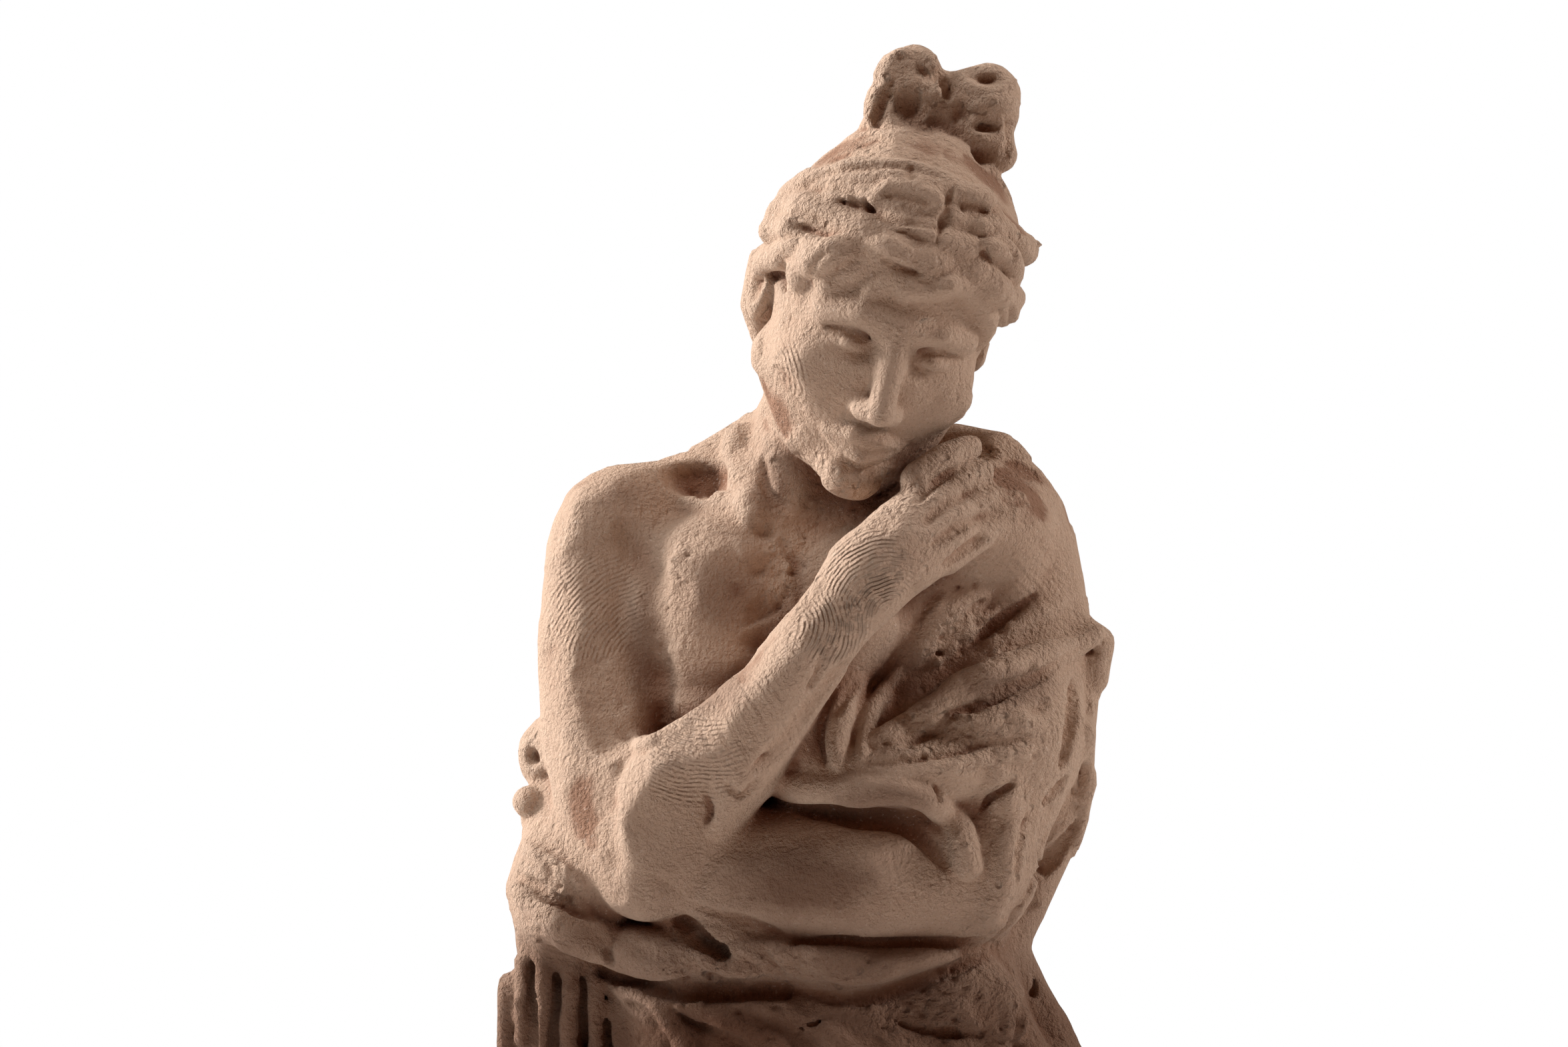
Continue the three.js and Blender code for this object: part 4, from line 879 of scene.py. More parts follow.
    def right_coils(self, clay: Clay) -> None:
        """Lays the thick turns over the left ear and the locks that hang below them."""
        clay.bands((
            ([(25, 287.8), (28.4, 287.2), (30.6, 284.8), (31, 281.4), (29.4, 278.6)], 4.2, 1.6),
            ([(25.4, 285.2), (28, 284.4), (29.2, 282), (28.2, 279)], 3.4, 1.5),
            ([(28.6, 279.4), (29.8, 276), (30, 272.4), (28.8, 269)], 5.0, 2.2),
            ([(24.8, 281.2), (27, 278.6), (28, 275), (27.2, 271), (25.6, 268)], 4.4, 1.6),
        ), blend=0.3, taper=0.6)
        clay.cuts((
            ([(25.2, 286), (25.6, 283.2), (26.8, 280.6)], 1.3, 1.1),
            ([(26.6, 286.3), (28.8, 285.4), (30, 283)], 0.8, 0.7),
            ([(28.6, 278), (29, 275), (28.4, 271.6)], 0.9, 0.8),
        ))

    def fringe(self, clay: Clay) -> None:
        """Drops the locks of the fringe over the brow and temples."""
        clay.bands((
            ([(9, 284.8), (4.8, 284.2), (1.4, 282.4), (0.8, 279.8)], 4.4, 1.4),
            ([(13.8, 284.2), (9, 282.8), (5.4, 281), (4.4, 279)], 4.4, 1.3),
            ([(16, 281.8), (13, 280.8), (10.4, 279.6), (9.6, 278.2)], 3.4, 1.1),
            ([(13.8, 279.4), (17.4, 279.9), (21, 279)], 4.0, 1.5),
            ([(19.6, 280), (22.6, 279.9), (24.6, 278), (25.7, 275), (24.8, 271.8)], 3.4, 1.4),
            ([(10, 285.4), (16, 283.4), (22, 281.8), (28, 278.2)], 4.8, 1.3),
        ), blend=0.3, taper=0.5)
        clay.cuts((
            ([(11, 284), (14, 282.4), (17, 281.3)], 0.8, 0.8),
            ([(5, 284.4), (2.8, 283.2), (2, 281)], 0.7, 0.6),
            ([(8.4, 283.6), (6, 282.4), (4.4, 280)], 0.7, 0.6),
            ([(16, 280.4), (18.6, 280.2), (20.6, 279.4)], 0.7, 0.5),
        ))

    def nape(self, clay: Clay) -> None:
        """Gathers the hair at the sides and nape and scores it all over behind."""
        for side in (-1, 1):
            stops = [(side * 13, 9, 0), (side * 12.4, 10, -6), (side * 10, 9.6, -11)]
            clay.press(self.roll(stops, [3, 2.8, 2]), 1.5)
        clay.press(self.roll([(-8, 14.5, 0), (0, 17, -3), (8, 14.5, 0)], [5, 6, 5]), 3)
        for n in range(9):
            x = -9 + 4.4 * n
            stops = [(x, 270 + 0.4 * n), (x + 1.2, 279), (0.7 * x + 5, 289), (0.35 * x + 9.5, 298)]
            clay.cut(stops, 1.7, 0.8, side=Side.BACK)
        for height in (279, 284, 289, 294):
            stops = [(x, height - 0.008 * (x - 11) ** 2 - 0.1 * (x - 11)) for x in (-6, 2, 11, 20, 28)]
            clay.band(stops, 3.8, 1.5, blend=0.3, side=Side.BACK)
            clay.cut([(x, z + 0.8) for x, z in stops], 0.9, 0.5, side=Side.BACK)

    def knot(self, clay: Clay) -> None:
        """Builds the knot on the crown: two clumps of loops with pockets thumbed between them."""

        def pocket(x: float, z: float, y: float, radii: Point) -> None:
            """Thumbs a pocket where it is seen."""
            clay.scrape(Egg(seen(x, z, y), radii), 0.3)

        for stops, radii, blend in (
            ([(13.6, 301, -11), (14.8, 305.4, -11), (15.8, 308.6, -11)], [5, 4.6, 3.6], 1.0),
            ([(24, 300.6, -10), (25.4, 303.2, -10), (25.8, 305.2, -10)], [4.6, 4.6, 4.4], 1.0),
            ([(17, 303.4, -9), (22, 303.4, -9)], [5.2, 5.2], 1.5),
            ([(26, 299.8, -10), (27.4, 297.4, -11)], [3.4, 2.4], 0.8),
        ):
            clay.press(seen_roll(stops, radii), blend)
        clay.band([(10.2, 301.6), (11.4, 305.6), (12.8, 309), (15, 311)], 3.6, 1.0)
        clay.band([(17.2, 311), (18.6, 307.6), (18.8, 304.6)], 3.4, 1.2)
        pocket(15.5, 304.2, -17, (2.6, 3.4, 2.7))
        pocket(18.8, 302, -16.4, (1.6, 2.2, 1.3))
        clay.cut([(19.7, 310.6), (19.9, 307.4), (20.6, 304.8)], 2.2, 2.2)
        pocket(22.2, 303.2, -15.6, (1.9, 2.6, 2.5))
        clay.band([(21.8, 308.4), (23.4, 306.2), (26, 305.6), (28.6, 306.4), (29.6, 308)], 1.9, 1.1)
        pocket(26, 307.7, -14.6, (2.0, 2.4, 1.0))
        clay.band([(23.6, 303.8), (26.6, 304.4), (30, 304.4)], 2.6, 1.3)
        pocket(26, 301.2, -14.8, (2.3, 2.2, 1.0))
        clay.band([(24, 300), (26.6, 299.4), (29.6, 299.8)], 2.0, 0.9)
        pocket(25.2, 297.3, -14.6, (2.0, 2.0, 1.4))
        clay.cuts((
            ([(28.4, 303), (28.8, 299.6), (28, 296.4)], 1.1, 0.9),
            ([(12.6, 306.4), (11.2, 303), (10.8, 300.6)], 1.4, 1.0),
            ([(16.6, 309.6), (18, 308), (18.4, 306)], 1.0, 0.8),
        ))


@dataclass
class Base:
    """The low slab of the same clay, squarish with rounded corners and upper edge."""

    width: float
    depth: float
    thickness: float
    edge_radius: float = 4.0
    squareness: float = 3.4

    def bounds(self) -> tuple[np.ndarray, np.ndarray]:
        """Gives its lowest and highest corner."""
        corner = np.array([self.width / 2, self.depth / 2, 0.0])
        return -corner - (0, 0, self.thickness), corner

    def gap(self, xs: np.ndarray, ys: np.ndarray, zs: np.ndarray, margin: float) -> np.ndarray:
        """Gives the distance to its skin on the grid of three axes, below zero inside."""
        half = np.array([self.width, self.depth]) / 2 - self.edge_radius
        n = self.squareness
        across = (np.abs(xs / half[0])[:, None] ** n + np.abs(ys / half[1])[None, :] ** n) ** (1 / n)
        side = ((across - 1) * half.min()).astype(np.float32)[:, :, None]
        top = (zs + self.edge_radius).astype(np.float32)[None, None, :]
        corner = np.sqrt(np.maximum(side, 0) ** 2 + np.maximum(top, 0) ** 2)
        rounded = np.minimum(np.maximum(side, top), 0) + corner - self.edge_radius
        return np.maximum(rounded, (-zs - self.thickness).astype(np.float32)[None, None, :])

    def model(self, clay: Clay) -> None:
        """Sets the figure on the slab."""
        clay.press(self, 2.5)


def value_noise(places: np.ndarray, cell: Point, seed: int) -> np.ndarray:
    """Gives smooth noise between -1 and 1 at any places.

    Args:
        places: One row per place.
        cell: Size of a lump of the noise along each axis.
        seed: Chooses the noise.

    Returns:
        One value per place.
    """
    at = (places - places.min(0)) / np.array(cell)
    first = np.floor(at).astype(int)
    t = at - first
    lattice = np.random.default_rng(seed).uniform(-1, 1, first.max(0) + 2)
    total = np.zeros(len(places))
    for bits, weight in corner_weights(t * t * (3 - 2 * t)):
        total += weight * lattice[tuple((first + bits).T)]
    return total


@dataclass(frozen=True)
class Patch:
    """A region of the front, by its middle as seen and its half sizes."""

    x: float
    z: float
    half_width: float
    half_height: float

    def cover(self, places: np.ndarray) -> np.ndarray:
        """Gives 1 in the middle of the region, falling to 0 at its edge and behind the figure."""
        away = np.hypot((places[:, 0] - self.x) / self.half_width, (places[:, 2] - self.z) / self.half_height)
        return (1 - smoothstep(away, 0.6, 1.1)) * (1 - smoothstep(places[:, 1], -4, 4))


@dataclass
class Weathering:
    """What the hand, the tools, the kiln and age left on the clay."""

    seed: int = 11
    aimed_around: int = 6000
    aimed_in_front: int = 5000
    pits: int = 420
    crumbs: int = 220
    dabs: int = 5200
    dab_depth: float = 0.62
    rough: tuple[Patch, ...] = (
        Patch(22, 233, 10, 5),
        Patch(0, 241, 6, 7),
        Patch(12, 252, 8, 4),
        Patch(28, 254, 8, 6),
        Patch(22, 220, 13, 6),
        Patch(-4, 189, 20, 5),
        Patch(20, 181, 14, 7),
        Patch(-33, 201, 7, 9),
        Patch(-13, 229, 7, 4),
        Patch(19, 305, 12, 9),
    )
    calm: tuple[Patch, ...] = (
        Patch(-27, 235, 10, 24),
        Patch(-8, 215, 18, 22),
        Patch(9, 236, 9, 10),
        Patch(7, 201, 18, 9),
        Patch(34, 243, 6, 10),
        Patch(9, 267, 13, 13),
    )

    def roughness(self, places: np.ndarray) -> np.ndarray:
        """Gives how coarse the clay is at any places, 0 where it was smoothed and 1 where it was torn."""
        patchy = smoothstep(value_noise(places, (13, 13, 13), self.seed), -0.1, 0.6)
        coarse = 0.25 + 0.3 * patchy
        for patch in self.rough:
            coarse = np.maximum(coarse, patch.cover(places) * (0.6 + 0.4 * patchy))
        for patch in self.calm:
            coarse = coarse * (1 - 0.8 * patch.cover(places))
        return coarse

    def score(self, clay: Clay) -> None:
        """Pits the skin and leaves crumbs on it, more where the clay is coarse."""
        rng = np.random.default_rng(self.seed)
        ring = rng.uniform(0, 360, self.aimed_around)
        heights = rng.uniform(4, 308, self.aimed_around)
        starts, ways = clay.aims(np.stack([ring, heights], axis=1), Side.AROUND)
        facing = rng.uniform((-38, 178), (42, 312), (self.aimed_in_front, 2))
        more_starts, more_ways = clay.aims(facing, Side.FRONT)
        starts, ways = np.vstack([starts, more_starts]), np.vstack([ways, more_ways])
        places, found = clay.meet(starts, ways)
        places = places[found]
        coarse = self.roughness(places)
        order = np.argsort(rng.uniform(0, 1, len(places)) - 0.8 * coarse)
        for place in places[order[: self.pits]]:
            size = rng.uniform(0.3, 0.8, 3) * (1, 1, 0.7)
            clay.scrape(Egg(tuple(place), tuple(size)), 0.2)
        for place in places[order[self.pits : self.pits + self.crumbs]]:
            size = rng.uniform(0.3, 0.7, 3)
            clay.press(Egg(tuple(place), tuple(size)), 0.2)

    def cracks(self, clay: Clay) -> None:
        """Opens the cracks that drying left."""
        for stops in (
            [(-9.4, 213), (-7.6, 210.8), (-5.2, 213.4)],
            [(24.8, 208.8), (26, 210.6), (28.6, 212), (30, 213.2)],
            [(26.8, 211.4), (29.4, 212.6)],
            [(-12.4, 212), (-11.6, 209), (-12.6, 206.6)],
            [(18.6, 213), (19.4, 211), (19, 209.4)],
            [(3.6, 230), (2.4, 226.5), (1.4, 225)],
            [(-3.6, 217), (-6.2, 214.4)],
        ):
            clay.cut(stops, 1.0, 0.9, blend=0.1)

    def flatten(self, places: np.ndarray, ways: np.ndarray) -> np.ndarray:
        """Presses flat dabs into the skin one over another, as a spatula or thumb leaves them.

        Args:
            places: The corners of the mesh.
            ways: The way out of the clay at each.

        Returns:
            The corners, with what stood above the plane of each dab pressed down to it.
        """
        rng = np.random.default_rng(self.seed + 9)
        tree = KDTree(len(places))
        for n, place in enumerate(places):
            tree.insert(place, n)
        tree.balance()
        coarse = self.roughness(places)
        weight = np.where((places[:, 1] < 4) & (places[:, 2] > 176), 3.0, 1.0)
        picked = rng.choice(len(places), self.dabs, replace=False, p=weight / weight.sum())
        places = places.copy()
        radii = rng.uniform(2.2, 6.0, self.dabs)
        tilts = rng.normal(0, 0.07, (self.dabs, 3))
        for middle, radius, tilt in zip(picked, radii, tilts):
            near = np.array([item[1] for item in tree.find_range(Vector(places[middle]), radius)])
            if len(near) < 12:
                continue
            plane = ways[near].mean(0)
            spread = np.linalg.norm(plane)
            if spread < 0.93:
                continue
            plane = plane / spread + tilt
            plane /= np.linalg.norm(plane)
            above = (places[near] - places[near].mean(0)) @ plane
            level = np.quantile(above, 0.5 - 0.25 * coarse[middle])
            away = np.linalg.norm(places[near] - places[middle], axis=1) / radius
            press = np.clip(above - level, 0, self.dab_depth) * (1 - smoothstep(away, 0.86, 1.0))
            places[near] -= press[:, None] * (0.4 + 0.6 * coarse[middle]) * plane
        return places

    def move(self, places: np.ndarray, ways: np.ndarray) -> np.ndarray:
        """Lifts and sinks the skin by the unevenness of hand-worked clay.

        Args:
            places: The corners of the mesh.
            ways: The way out of the clay at each.

        Returns:
            The corners, moved.
        """
        coarse = self.roughness(places)
        cells = ((8, 8, 8), (3.2, 3.2, 3.2), (1.5, 1.5, 1.2), (0.9, 0.9, 0.9), (2.1, 2.1, 1.6))
        wide, fine, grain, dust, tears = (
            value_noise(places, cell, self.seed + n) for n, cell in enumerate(cells, start=1)
        )
        lumps = 0.22 * wide + 0.07 * fine
        grit = grain + 0.7 * dust
        torn = np.maximum(tears - 0.25, 0)
        lift = (0.4 + 0.6 * coarse) * lumps + (0.02 + 0.13 * coarse**2) * grit - 0.6 * coarse**2 * torn
        return self.flatten(places, ways) + lift[:, None] * ways


@dataclass
class Statuette:
    """The whole work, from clay to a dressed mesh in the frame."""

    step: float = 0.46
    triangles: int = 196000
    floor_band: float = 0.4
    reaches: tuple[tuple[str, float], ...] = (("near", 1.6), ("wide", 6.0))

    def __post_init__(self) -> None:
        """Takes the sizes of the slab and the scale of the figure from the solid."""
        low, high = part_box(NODE)
        self.size = (np.array(high) - np.array(low)) / MM
        self.scale = self.size[2] / (DRAWN_TOP + BASE_THICKNESS)
        self.parts = (
            Skirt(),
            Torso(),
            LeftArm(),
            Cloak(),
            Overfold(),
            RightArm(),
            Head(),
            Base(self.size[0] / self.scale, self.size[1] / self.scale, BASE_THICKNESS),
        )

    def clay(self) -> Clay:
        """Models every part in the block of clay."""
        half = self.size[:2] / self.scale / 2 + 3
        low = (-half[0], -half[1], -BASE_THICKNESS - 2)
        clay = Clay(low, (half[0], half[1], DRAWN_TOP + 4), self.step)
        for part in self.parts:
            part.model(clay)
            log.info("modelled %s", type(part).__name__.lower())
        return clay

    def skin(self, clay: Clay, weathering: Weathering) -> tuple[np.ndarray, np.ndarray]:
        """Draws quads over the clay and roughens them, all but the underside.

        Args:
            clay: The finished block.
            weathering: What moves the skin.

        Returns:
            Corners in drawn millimetres, and four indices for each quad.
        """
        grid = openvdb.FloatGrid(clay.EMPTY)
        grid.copyFromArray(clay.field)
        corners, quads = grid.convertToQuads(isovalue=0.0)
        places = clay.low + np.asarray(corners, float) * clay.step
        moved = weathering.move(places, clay.slope(places))
        flat_below = -BASE_THICKNESS + self.floor_band
        share = smoothstep(places[:, 2], flat_below, -BASE_THICKNESS + 3)[:, None]
        places = places + (moved - places) * share
        places[places[:, 2] < flat_below, 2] = -BASE_THICKNESS
        return places, np.asarray(quads)

    def build(self) -> bpy.types.Object:
        """Makes the piece that stands for the solid.

        Returns:
            The object, with its place in its mesh.
        """
        weathering = Weathering()
        clay = self.clay()
        weathering.cracks(clay)
        weathering.score(clay)
        places, quads = self.skin(clay, weathering)
        log.info("skinned: %d quads", len(quads))
        piece = self.thin(places, quads)
        self.mark_hollows(piece, clay, weathering)
        return piece

    def thin(self, places: np.ndarray, quads: np.ndarray) -> bpy.types.Object:
        """Makes the mesh in drawn millimetres, thins it evenly and takes it to the frame.

        Args:
            places: Corners in drawn millimetres.
            quads: Four indices for each quad.

        Returns:
            The piece.
        """
        mesh = bpy.data.meshes.new(PIECE)
        mesh.vertices.add(len(places))
        mesh.vertices.foreach_set("co", places.astype(np.float32).ravel())
        mesh.loops.add(quads.size)
        mesh.loops.foreach_set("vertex_index", quads.astype(np.int32).ravel())
        mesh.polygons.add(len(quads))
        mesh.polygons.foreach_set("loop_start", np.arange(0, quads.size, 4, dtype=np.int32))
        mesh.update(calc_edges=True)
        piece = bpy.data.objects.new(PIECE, mesh)
        bpy.context.scene.collection.objects.link(piece)

        thinner = piece.modifiers.new("Thin", "DECIMATE")
        thinner.ratio = self.triangles / (2 * len(quads))
        self.apply(piece)
        places = np.empty(3 * len(piece.data.vertices))
        piece.data.vertices.foreach_get("co", places)
        piece.data.vertices.foreach_set("co", self.to_frame(places.reshape(-1, 3)).ravel())
        piece.data.update()
        log.info("thinned to %d triangles", len(piece.data.polygons))
        return piece

    def to_frame(self, places: np.ndarray) -> np.ndarray:
        """Turns drawn millimetres into metres of the frame."""
        return (places + (0, 0, BASE_THICKNESS)) * self.scale * MM

    def apply(self, piece: bpy.types.Object) -> None:
        """Applies the modifiers of a piece and cuts its faces into triangles."""
        shape = piece.evaluated_get(bpy.context.evaluated_depsgraph_get())
        done = bpy.data.meshes.new_from_object(shape)
        piece.modifiers.clear()
        old = piece.data
        piece.data = done
        bpy.data.meshes.remove(old)
        done.name = PIECE
        work = bmesh.new()
        work.from_mesh(done)
        bmesh.ops.triangulate(work, faces=work.faces)
        work.to_mesh(done)
        work.free()
        done.shade_smooth()

    def mark_hollows(self, piece: bpy.types.Object, clay: Clay, weathering: Weathering) -> None:
        """Stores on the mesh how deep in a hollow and how coarse each corner is.

        Args:
            piece: The dressed piece.
            clay: The block of clay, which is used up.
            weathering: What says how coarse the clay is.
        """
        mesh = piece.data
        places = np.empty(len(mesh.vertices) * 3, np.float32)
        mesh.vertices.foreach_get("co", places)
        places = places.reshape(-1, 3) / (MM * self.scale) - (0, 0, BASE_THICKNESS)
        solid = np.clip(0.5 - clay.field / (2 * clay.step), 0, 1)
        for name, reach in self.reaches:
            clay.field = self.blur(solid, int(round(reach / clay.step)))
            self.store(mesh, name, clay.sample(places))
        self.store(mesh, "coarse", weathering.roughness(places))

    def blur(self, block: np.ndarray, reach: int) -> np.ndarray:
        """Averages a block over a cube that reaches a number of voxels each way."""
        for axis in range(3):
            margins = [(0, 0)] * 3
            margins[axis] = (reach + 1, reach)
            padded = np.pad(block, margins)
            total = np.cumsum(padded, axis, dtype=np.float32)
            count = block.shape[axis]
            span = 2 * reach + 1
            upper = total.take(range(span, span + count), axis)
            block = (upper - total.take(range(count), axis)) / span
        return block

    def store(self, mesh: bpy.types.Mesh, name: str, values: np.ndarray) -> None:
        """Keeps one value for each corner of a mesh."""
        attribute = mesh.attributes.new(name, "FLOAT", "POINT")
        attribute.data.foreach_set("value", values.astype(np.float32))


class Graph:
    """A short way to build a node tree."""

    def __init__(self, tree: bpy.types.NodeTree) -> None:
        """Starts with an empty tree."""
        self.tree = tree
        tree.nodes.clear()

    def node(self, kind: str, values: dict[str, object] | None = None, **settings: object) -> bpy.types.Node:
        """Adds a node, sets its settings, and sets or links its inputs."""
        made = self.tree.nodes.new(kind)
        for name, value in settings.items():
            setattr(made, name, value)
        for name, value in (values or {}).items():
            self.feed(made.inputs[name], value)
        return made

    def feed(self, socket: bpy.types.NodeSocket, value: object) -> None:
        """Links a socket to another, or sets its value."""
        if isinstance(value, bpy.types.NodeSocket):
            self.tree.links.new(value, socket)
        else:
            socket.default_value = value

    def math(self, operation: str, *values: object) -> bpy.types.NodeSocket:
        """Adds a Math node and gives its result."""
        made = self.node("ShaderNodeMath", operation=operation)
        for socket, value in zip(made.inputs, values):
            self.feed(socket, value)
        return made.outputs[0]

    def vector(self, operation: str, *values: object, out: int = 0) -> bpy.types.NodeSocket:
        """Adds a Vector Math node and gives one of its results."""
        made = self.node("ShaderNodeVectorMath", operation=operation)
        for socket, value in zip(made.inputs, values):
            self.feed(socket, value)
        return made.outputs[out]

    def add(self, value: object, other: object, share: float = 1.0) -> bpy.types.NodeSocket:
        """Adds a share of another value to a value."""
        return self.math("ADD", value, other if share == 1 else self.math("MULTIPLY", other, share))

    def span(self, value: object, low: float, high: float, *new: float) -> bpy.types.NodeSocket:
        """Maps the range from low to high smoothly to a new one."""
        made = self.node("ShaderNodeMapRange", interpolation_type="SMOOTHSTEP")
        for socket, given in zip(made.inputs, (value, low, high, *new)):
            self.feed(socket, given)
        return made.outputs[0]

    def noise(
        self, place: object, scale: float, detail: float = 2.0, roughness: float = 0.5
    ) -> bpy.types.NodeSocket:
        """Adds noise and gives its value."""
        values = {"Vector": place, "Scale": scale, "Detail": detail, "Roughness": roughness}
        return self.node("ShaderNodeTexNoise", values).outputs["Fac"]

    def stored(self, name: str) -> bpy.types.NodeSocket:
        """Reads a value stored on the mesh."""
        return self.node("ShaderNodeAttribute", attribute_name=name).outputs["Fac"]

    def mix(self, share: object, one: object, other: object) -> bpy.types.NodeSocket:
        """Mixes two colours."""
        made = self.node("ShaderNodeMix", data_type="RGBA")
        self.feed(made.inputs[0], share)
        self.feed(made.inputs[6], one)
        self.feed(made.inputs[7], other)
        return made.outputs[2]


class MarkGroup:
    """A shader node group for marks inside a round patch, that fade out towards its edge."""

    def __init__(self, name: str, guide: str, whole: float) -> None:
        """Makes the inputs, and what fades the marks out.

        Args:
            name: Name of the group.
            guide: Name of the vector that aims the marks.
            whole: Share of the radius up to which the marks are whole.
        """
        self.tree = bpy.data.node_groups.new(name, "ShaderNodeTree")
        self.graph = Graph(self.tree)
        kinds = {"Middle": "Vector", guide: "Vector", "Radius": "Float", "Spacing": "Float"}
        for key, kind in kinds.items():
            self.tree.interface.new_socket(key, in_out="INPUT", socket_type=f"NodeSocket{kind}")
        self.tree.interface.new_socket("Height", in_out="OUTPUT", socket_type="NodeSocketFloat")
        self.given = self.graph.node("NodeGroupInput").outputs
        self.place = self.graph.node("ShaderNodeTexCoord").outputs["Object"]
        reach = self.graph.vector("DISTANCE", self.place, self.given["Middle"], out=1)
        away = self.graph.math("DIVIDE", reach, self.given["Radius"])
        self.inside = self.graph.span(away, whole, 1.0, 1, 0)

    def end(self, height: bpy.types.NodeSocket) -> bpy.types.NodeTree:
        """Sends the height of the marks out of the group."""
        self.graph.node("NodeGroupOutput", {"Height": height})
        return self.tree


def ring_prints() -> bpy.types.NodeTree:
    """Builds the group for a fingerprint: curved ridges round a centre, inside a round patch."""
    made = MarkGroup("fingerprint", "Rings", 0.55)
    graph, given, place = made.graph, made.given, made.place
    away = graph.vector("DISTANCE", place, given["Rings"], out=1)
    away = graph.add(away, graph.noise(place, 260, 1.0), 0.0012)
    rings = graph.math("DIVIDE", away, given["Spacing"])
    wave = graph.math("SINE", graph.math("MULTIPLY", rings, 2 * np.pi))
    broken = graph.span(graph.noise(place, 900, 1.0), 0.35, 0.6, 0.2, 1)
    return made.end(graph.math("MULTIPLY", graph.math("MULTIPLY", wave, made.inside), broken))


def comb_marks() -> bpy.types.NodeTree:
    """Builds the group for the straight scratches of a toothed tool or brush, inside a round patch."""
    made = MarkGroup("comb", "Across", 0.5)
    graph, given, place = made.graph, made.given, made.place
    along = graph.vector("DOT_PRODUCT", place, given["Across"], out=1)
    along = graph.add(along, graph.noise(place, 180, 1.0), 0.002)
    values = {"W": graph.math("DIVIDE", along, given["Spacing"]), "Scale": 1.0, "Detail": 1.0}
    teeth = graph.node("ShaderNodeTexNoise", values, noise_dimensions="1D").outputs["Fac"]
    return made.end(graph.math("MULTIPLY", graph.math("SUBTRACT", teeth, 0.5), made.inside))


@dataclass(frozen=True)
class Marks:
    """Fingerprints or comb marks: where they are as seen, how far they reach and what they point at."""

    x: float
    z: float
    y: float
    radius: float
    toward: tuple[float, float]
    spacing: float
    height: float


@dataclass(frozen=True)
class ShadeSpot:
    """A soft patch of painted shade on the front, given in the picture plane in drawn millimetres."""

    x: float
    z: float
    wide: float
    high: float
    amount: float
    y: float = -22.0
    deep: float = 26.0

    def middle(self) -> tuple[float, float, float]:
        """Gives its middle in the frame."""
        return self.x * MM, self.y * MM, (self.z + BASE_THICKNESS) * MM

    def scale(self) -> tuple[float, float, float]:
        """Gives what turns its reach along each axis into 1."""
        return 1 / (self.wide * MM), 1 / (self.deep * MM), 1 / (self.high * MM)


